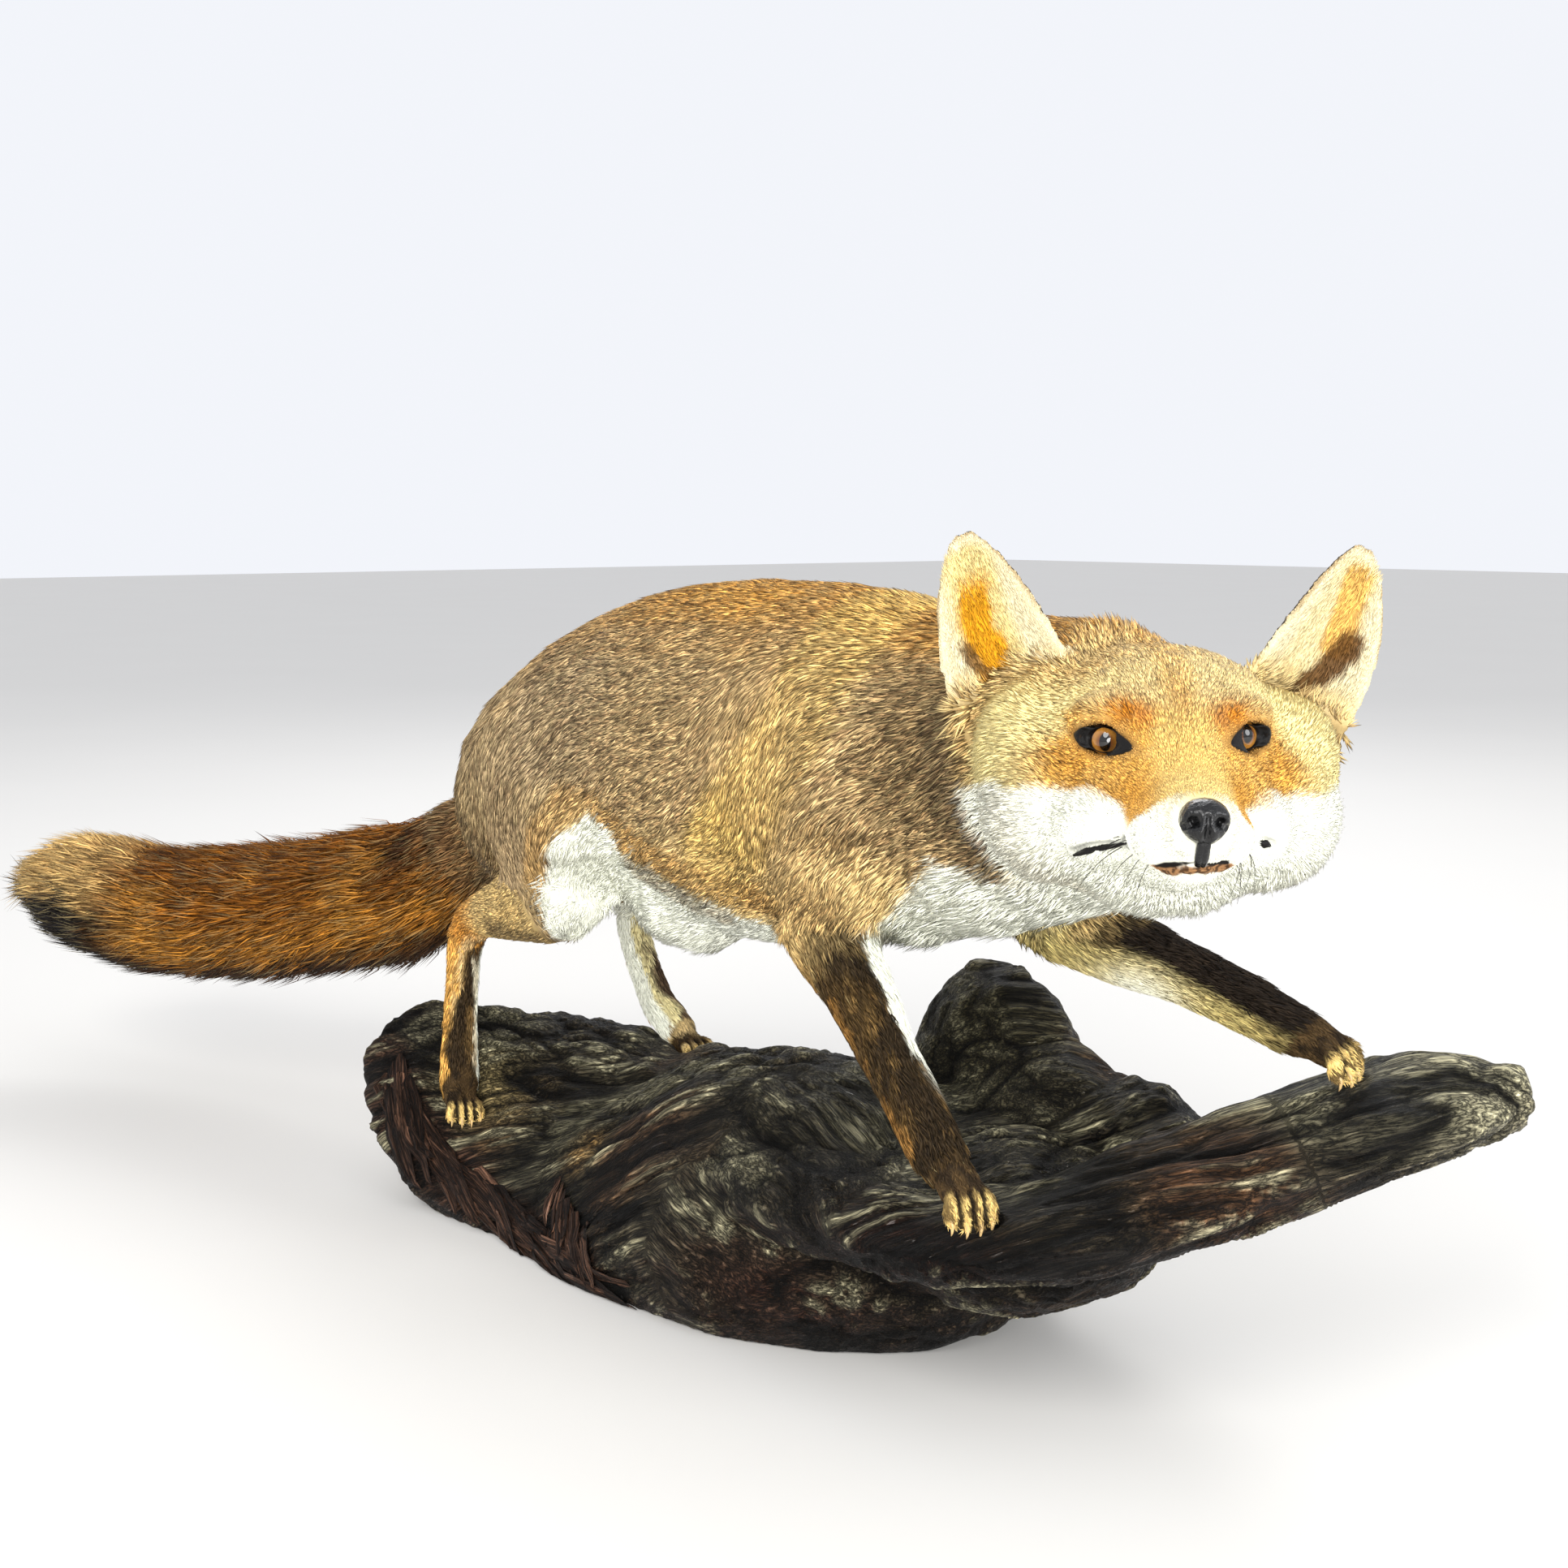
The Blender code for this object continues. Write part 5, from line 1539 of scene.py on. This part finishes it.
def wood_colour(points, normals, grooves, stub):
    """Weathered grey-black wood, paler on top and brown in places, with painted shade under the ledge, on its
    underside and near black in its grooves, and painted highlights along the fibres' crests.
    """
    gully, ridge, fine = grooves
    up = normals[:, 2]
    paint = Paint(len(points), linear(52, 48, 37))
    paint.lay(linear(104, 100, 80), step(0.0, 0.5, noise(points, 34, 67)) * step(0.0, 0.6, up) * 0.7)
    paint.lay(linear(70, 46, 28), step(0.15, 0.6, noise(points, 16, 65)) * 0.6)
    # Painted shade: dark brown on the faces that turn down.
    paint.lay(linear(34, 22, 15), step(0.15, -0.5, up) * 0.8)
    for colour, at, reach, strength in STAINS_AND_SHADE:
        paint.patch(linear(*colour), points, at, reach, strength)
    paint.line(linear(48, 31, 23), points, SPLINTER_EDGE, 0.026, 0.9)
    # Painted highlight along the fibres' crests, weaker on the stub.
    crest_highlight = step(0.60, 1.0, ridge) * step(0.5, 0.95, gully) * step(0.4, 0.9, fine)
    paint.lay(linear(160, 154, 124), crest_highlight * 0.55 * (1 - 0.6 * stub))
    # Painted shade: near black in the grooves between the fibres.
    paint.lay(linear(9, 7, 5), step(0.46, 0.10, gully) * 0.95)
    paint.lay(linear(11, 9, 7), step(0.46, 0.10, ridge) * 0.85)
    return paint.colour


def driftwood():
    """The root, with lumps, gullies and fibres raised on it."""
    shape = bmesh.new()
    grown_nodes(shape, ["driftwood"], 0.0)
    wood = fuse(finished("driftwood_grain", shape), FINE_VOXEL)
    mesh = wood.data
    points, edges = points_of(mesh), edges_of(mesh)
    points = eased(points, edges, np.full(len(points), 0.9), 12)
    set_points(mesh, points)
    normals = normals_of(mesh)
    places, shares = grain_places(points)
    stub = shares[-1]
    gully = fibres(places, shares, 40, 60, 3.0)
    ridge = fibres(places, shares, 110, 61, 2.4)
    fine = fibres(places, shares, 250, 62, 2.2)
    crumble = noise(points, 150, 64)
    high = 0.0020 * noise(points, 26, 63) + 0.0036 * (gully - 0.75) + 0.0024 * (ridge - 0.5)
    high = high + 0.0012 * (fine - 0.5) + 0.0004 * crumble
    lines = np.array([unit(np.array(line)) for _, _, line in GRAIN_RUNS] + [(0.0, 0.0, 0.0)])
    most = np.argmax(shares, 0)
    cut_across = np.abs(dot(normals, lines[most]))
    high = high * (1 - 0.6 * step(0.45, 0.85, cut_across)) * (1 - 0.45 * stub)
    above = step(0.001, 0.012, points[:, 2])
    trodden = np.zeros(len(points))
    for at, *_ in PAWS.values():
        trodden = np.maximum(trodden, step(0.034, 0.020, np.linalg.norm(points - at, axis=1)))
    high = high * above * (1 - 0.7 * trodden) + 0.0012 * above * (1 - trodden)
    moved = points + normals * high[:, None]
    moved[:, 2] = np.maximum(moved[:, 2], 0.0)
    set_points(mesh, moved)
    colour = wood_colour(points, normals_of(mesh), (gully, ridge, fine), stub)
    tint(mesh, colour * (1 + 0.30 * crumble[:, None]))
    keep_grain(mesh, np.array(places)[most, np.arange(len(points))])
    return wood


def splinter_starts(rng):
    """Where each flake starts, the way it lies, its length and its half width."""
    rows = np.array(SPLINTER_EDGE)
    starts = []
    edge_flakes, fan_flakes = 44, 20
    for i in range(edge_flakes):
        t = (i + rng.random()) / edge_flakes * (len(rows) - 1.5)
        k = int(t)
        at = rows[k] + (rows[k + 1] - rows[k]) * (t - k)
        at = at + np.array((0.010, 0.006, 0.015)) * (rng.random() - 0.15) + 0.0010 * rng.standard_normal(3)
        along = unit(rows[min(k + 1, len(rows) - 1)] - rows[k] + np.array((0.0, 0.0, -0.004)))
        size = rng.random()
        along = unit(along + 0.06 * rng.standard_normal(3))
        starts.append((at, along, 0.034 + 0.040 * size, 0.0022 + 0.0046 * size))
    for i in range(fan_flakes):
        t = (i + rng.random()) / fan_flakes
        at = np.array((-0.112 + 0.050 * t, -0.104, 0.046 - 0.020 * t)) + 0.002 * rng.standard_normal(3)
        along = unit(np.array((0.40 + 0.45 * t, -0.25, -0.85)) + 0.06 * rng.standard_normal(3))
        starts.append((at, along, 0.024 + 0.020 * rng.random(), 0.0022 + 0.0016 * rng.random()))
    return starts


def splinters(wood):
    """Torn flakes that hug the driftwood's low near edge, and a fan of them above its middle."""
    rng = np.random.default_rng(5)
    tree = tree_of(wood)
    shape = bmesh.new()
    grain, tones = [], []
    stations = ((0.0, 0.25), (0.10, 0.75), (0.3, 1.0), (0.55, 0.95), (0.8, 0.6), (0.93, 0.35), (1.0, 0.06))
    profile = ((-1, 0), (-0.45, 0.9), (0.05, 0.35), (0.5, 1.0), (1, 0), (0, -1.0))
    for at, along, length, wide in splinter_starts(rng):
        thick, raised = 0.0007 + 0.0005 * rng.random(), 0.0026 * rng.random()
        lean = 0.22 * rng.standard_normal()
        shift, tone = 3 * rng.random(3), 0.4 + 1.9 * rng.random() ** 2
        rings = []
        for share, size in stations:
            near, normal, _, _ = tree.find_nearest(at + along * length * share)
            out = unit(np.array(normal))
            side = unit(np.cross(along, out))
            c, s = math.cos(lean), math.sin(lean)
            out, side = out * c + side * s, side * c - out * s
            middle = np.array(near) + out * (0.0004 + raised * (0.3 + share))
            ring = []
            for a, b in profile:
                offset = side * wide * size * a + out * thick * size * b
                ring.append(shape.verts.new(middle + offset))
                grain.append(shift + (wide * size * a, 0.0, length * share * 0.06))
                # Painted highlight on each flake's raised outer ridges, painted shade on the rest of it.
                tones.append(tone * (1.5 if b > 0.5 else 0.7))
            rings.append(ring)
        join_rings(shape, rings)
    for vert in shape.verts:
        vert.co.z = max(vert.co.z, 0.0004)
    flakes = finished("splinters", shape, smooth=False)
    tint(flakes.data, np.array(tones)[:, None] * linear(50, 34, 25))
    keep_grain(flakes.data, grain)
    return flakes


# ------------------------------------------------------------------ materials
def node_group(name, numbers, outputs):
    """An empty group: a colour and the named numbers come in, the outputs go out."""
    group = bpy.data.node_groups.new(name, "ShaderNodeTree")
    group.interface.new_socket("Color", in_out="INPUT", socket_type="NodeSocketColor")
    for label, number in numbers.items():
        socket = group.interface.new_socket(label, in_out="INPUT", socket_type="NodeSocketFloat")
        socket.default_value = number
    for label in outputs:
        kind = "NodeSocketColor" if label == "Color" else "NodeSocketFloat"
        group.interface.new_socket(label, in_out="OUTPUT", socket_type=kind)
    return group, group.nodes.new("NodeGroupInput"), group.nodes.new("NodeGroupOutput")


def sum_node(tree, operation, source, *numbers):
    """A sum on one source; each number fills the next input."""
    node = tree.nodes.new("ShaderNodeMath")
    node.operation = operation
    tree.links.new(source, node.inputs[0])
    for socket, number in zip(node.inputs[1:], numbers):
        socket.default_value = number
    return node


def range_node(tree, source, **ends):
    """A map range node from 0 to 1 unless its ends are given."""
    node = tree.nodes.new("ShaderNodeMapRange")
    tree.links.new(source, node.inputs["Value"])
    for label, number in ends.items():
        node.inputs[label.replace("_", " ")].default_value = number
    return node


def scaled_colour(tree, colour, amount):
    """A node that multiplies a colour by an amount."""
    node = tree.nodes.new("ShaderNodeVectorMath")
    node.operation = "SCALE"
    tree.links.new(colour, node.inputs[0])
    tree.links.new(amount, node.inputs["Scale"])
    return node


def strand_tone():
    """Fine, steady variation of hair colour and the bump that goes with it."""
    numbers = {"Scale": 700.0, "Depth": 0.15}
    group, start, end = node_group("Strand tone", numbers, ("Color", "Height"))
    nodes, links = group.nodes, group.links
    place = nodes.new("ShaderNodeTexCoord")
    grain = nodes.new("ShaderNodeTexNoise")
    grain.inputs["Detail"].default_value = 3
    links.new(place.outputs["Object"], grain.inputs["Vector"])
    links.new(start.outputs["Scale"], grain.inputs["Scale"])
    spread = sum_node(group, "SUBTRACT", grain.outputs["Fac"], 0.5)
    amount = sum_node(group, "MULTIPLY_ADD", spread.outputs[0], 0.0, 1.0)
    links.new(start.outputs["Depth"], amount.inputs[1])
    tone = scaled_colour(group, start.outputs["Color"], amount.outputs[0])
    links.new(tone.outputs[0], end.inputs["Color"])
    links.new(grain.outputs["Fac"], end.inputs["Height"])
    return group


STRANDS = strand_tone()


def painted(name, roughness, scale, depth, bump, **sockets):
    """A material whose colour is kept on the mesh, with a steady fine grain."""
    made = bpy.data.materials.new(name)
    made.use_nodes = True
    nodes, links = made.node_tree.nodes, made.node_tree.links
    shader = nodes["Principled BSDF"]
    colour = nodes.new("ShaderNodeAttribute")
    colour.attribute_name = "Coat"
    tone = nodes.new("ShaderNodeGroup")
    tone.node_tree = STRANDS
    tone.inputs["Scale"].default_value = scale
    tone.inputs["Depth"].default_value = depth
    links.new(colour.outputs["Color"], tone.inputs["Color"])
    links.new(tone.outputs["Color"], shader.inputs["Base Color"])
    if bump:
        relief = nodes.new("ShaderNodeBump")
        relief.inputs["Strength"].default_value = bump
        relief.inputs["Distance"].default_value = 0.0006
        links.new(tone.outputs["Height"], relief.inputs["Height"])
        links.new(relief.outputs["Normal"], shader.inputs["Normal"])
    shader.inputs["Roughness"].default_value = roughness
    for label, value in sockets.items():
        shader.inputs[label.replace("_", " ")].default_value = value
    return made


def plain(name, colour, roughness, scale=900.0, depth=0.3, bump=0.3, **sockets):
    """A single colour broken by a fine grain."""
    made = painted(name, roughness, scale, depth, bump, **sockets)
    nodes = made.node_tree.nodes
    nodes.remove(next(n for n in nodes if n.type == "ATTRIBUTE"))
    tone = next(n for n in nodes if n.type == "GROUP")
    tone.inputs["Color"].default_value = (*colour, 1)
    return made


def fibre_shade_and_glints():
    """Fine fibres of weathered wood: a contrasted tone, painted shade in the creases and painted glints
    between them, and the relief that goes with it.
    """
    group, start, end = node_group("Fibre shade and glints", {"Scale": 420.0}, ("Color", "Height", "Roughness"))
    nodes, links = group.nodes, group.links
    place = nodes.new("ShaderNodeAttribute")
    place.attribute_name = "Grain"
    grain = nodes.new("ShaderNodeTexNoise")
    for label, value in (("Detail", 5), ("Roughness", 0.62), ("Distortion", 0.4)):
        grain.inputs[label].default_value = value
    links.new(place.outputs["Vector"], grain.inputs["Vector"])
    links.new(start.outputs["Scale"], grain.inputs["Scale"])
    fold = sum_node(group, "SUBTRACT", grain.outputs["Fac"], 0.5)
    crease = sum_node(group, "ABSOLUTE", fold.outputs[0])
    height = range_node(group, crease.outputs[0], From_Max=0.16)
    # Painted shade near black in each crease and painted glints up to 2.7 times as bright between them.
    amount = range_node(group, height.outputs[0], To_Min=0.02, To_Max=2.70)
    rough = range_node(group, height.outputs[0], To_Min=0.60, To_Max=0.24)
    tone = scaled_colour(group, start.outputs["Color"], amount.outputs[0])
    links.new(tone.outputs[0], end.inputs["Color"])
    links.new(height.outputs[0], end.inputs["Height"])
    links.new(rough.outputs[0], end.inputs["Roughness"])
    return group


def wood_look():
    """Driftwood: the kept colour seen through the wood's own fibres, with their painted shade and glints."""
    made = painted("Driftwood", 0.5, 520.0, 0.9, 1.0, Specular_IOR_Level=0.16)
    nodes, links = made.node_tree.nodes, made.node_tree.links
    shader = nodes["Principled BSDF"]
    kinds = ("GROUP", "ATTRIBUTE", "BUMP")
    tone, colour, relief = (next(n for n in nodes if n.type == kind) for kind in kinds)
    tone.node_tree = fibre_shade_and_glints()
    tone.inputs["Scale"].default_value = 520.0
    relief.inputs["Distance"].default_value = 0.0014
    links.new(colour.outputs["Color"], tone.inputs["Color"])
    links.new(tone.outputs["Color"], shader.inputs["Base Color"])
    links.new(tone.outputs["Height"], relief.inputs["Height"])
    links.new(tone.outputs["Roughness"], shader.inputs["Roughness"])
    return made


# ------------------------------------------------------------------ the model
skin = build_skin()
lids = eyelids(skin)
body = read_body(points_of(skin.data), normals_of(skin.data))
skin_colour = markings_and_shade(body)
# Painted shade: the skin under the coat is darkened so the gaps between hairs read dark, less under white
# hair.
tint(skin.data, skin_colour * (0.66 + 0.26 * pale_share(skin_colour)[:, None]))
coat = grow_coat(skin)

skin_look = painted("Skin under the coat", 0.85, 500.0, 0.5, 0.5, Specular_IOR_Level=0.15)
skin.data.materials.append(skin_look)
lid_look = plain("Eyelid", linear(11, 9, 8), 0.5, 1400.0, 0.5, 0.3, Specular_IOR_Level=0.18)
lids.data.materials.append(lid_look)
HAIR = {  # the look's name, its roughness, its fine grain's scale and depth, its gloss
    "coat_body": ("Body hair", 0.62, 900.0, 0.20, 0.14),
    "coat_head": ("Face hair", 0.64, 1100.0, 0.18, 0.14),
    "coat_tail": ("Tail hair", 0.60, 700.0, 0.25, 0.12),
    "coat_legs": ("Leg hair", 0.62, 1000.0, 0.20, 0.14),
    "coat_ears": ("Ear hair", 0.66, 1100.0, 0.15, 0.12),
    "coat_paws": ("Paw hair", 0.62, 1100.0, 0.20, 0.14),
}
COAT_LOOKS = {
    piece: painted(label, roughness, scale, depth, 0, Specular_IOR_Level=gloss)
    for piece, (label, roughness, scale, depth, gloss) in HAIR.items()
}
for name, piece in coat:
    piece.data.materials.append(COAT_LOOKS[name])
    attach(piece, "root")

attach(skin, "root")
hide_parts(*FLESH, *PAW_NODES, "ear_left", "ear_right")
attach(lids, "root")
corners = mouth_corners(skin)
corners.data.materials.append(lid_look)
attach(corners, "root")

eye_look = painted(
    "Glass eye", 0.05, 2000.0, 0.1, 0,
    Specular_IOR_Level=0.0, Coat_Weight=1.0, Coat_Roughness=0.02, Coat_IOR=1.66,
)
for side, node in ((RIGHT, "eye_right"), (LEFT, "eye_left")):
    glass = glass_eye(f"glass_{node}", side)
    glass.data.materials.append(eye_look)
    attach(glass, "root")
    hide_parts(node)

pad = nose_pad()
pad.data.materials.append(
    plain(
        "Nose leather", linear(7, 7, 8), 0.26, 1000.0, 0.6, 1.0,
        Specular_IOR_Level=0.22, Coat_Weight=0.4, Coat_Roughness=0.06,
    )
)
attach(pad, "root")
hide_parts("nose")

nails = claws()
nails.data.materials.append(plain("Claw horn", linear(196, 164, 112), 0.38, 600.0, 0.6, 0.2))
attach(nails, "root")

hairs = whiskers()
hairs.data.materials.append(plain("Whisker", linear(30, 24, 20), 0.4, 400.0, 0.2, 0))
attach(hairs, "root")

wood = driftwood()
wood.data.materials.append(wood_look())
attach(wood, "root")
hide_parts("driftwood")

flakes = splinters(wood)
flakes.data.materials.append(wood.data.materials[0])
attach(flakes, "root")


# ------------------------------------------------------------------ stage
def floor():
    """A wide pale floor just below the wood."""
    shape = bmesh.new()
    bmesh.ops.create_grid(shape, x_segments=1, y_segments=1, size=12)
    ground = finished("ground", shape, smooth=False)
    ground.location = (0, 0, -0.0005)
    ground.data.materials.append(plain("Pale ground", linear(216, 214, 210), 0.9, 3.0, 0.03, 0))
    return ground


def lamp(name, at, target, size, power, tone):
    """A round lamp turned toward its target."""
    light = bpy.data.lights.new(name, "AREA")
    light.shape = "DISK"
    light.size = size
    light.energy = power
    light.color = tone
    obj = link(name, light)
    obj.location = at
    obj.rotation_mode = "QUATERNION"
    obj.rotation_quaternion = (Vector(target) - at).to_track_quat("-Z", "Y")


ground = floor()
middle = Vector((0.0, -0.02, 0.2))
up = Vector((0, 0, 1))
across = Vector((math.cos(CAMERA_TURN), math.sin(CAMERA_TURN), 0))
inward = up.cross(across)
lamp("key", middle - across * 0.9 - inward * 1.7 + up * 1.5, middle, 1.3, 30, (1, 0.985, 0.96))
lamp("fill", middle + across * 1.6 - inward * 1.2 + up * 0.7, middle, 1.2, 20, (0.97, 0.985, 1))
lamp("front", Vector((0.72, -0.59, 0.40)) - inward, (0.15, -0.05, 0.26), 1.0, 30, (1, 0.99, 0.97))
lamp("back", middle + across * 0.2 + inward * 1.8 + up * 1.6, middle, 1.2, 18, (1, 1, 1))

world = bpy.data.worlds.new("Studio")
bpy.context.scene.world = world
world.use_nodes = True
sky = world.node_tree.nodes["Background"]
sky.inputs["Color"].default_value = (0.93, 0.95, 1, 1)
sky.inputs["Strength"].default_value = 0.96
bpy.context.scene.view_settings.view_transform = "Standard"

lens = bpy.data.cameras.new("camera")
lens.lens_unit = "FOV"
lens.angle = CAMERA_ANGLE
lens.clip_start = 0.01
camera = link("camera", lens)
forward = inward * math.cos(CAMERA_DOWN) - up * math.sin(CAMERA_DOWN)
turn = Matrix((across, across.cross(forward), -forward)).transposed()
camera.matrix_world = Matrix.Translation(CAMERA_AT) @ turn.to_4x4()
bpy.context.scene.camera = camera
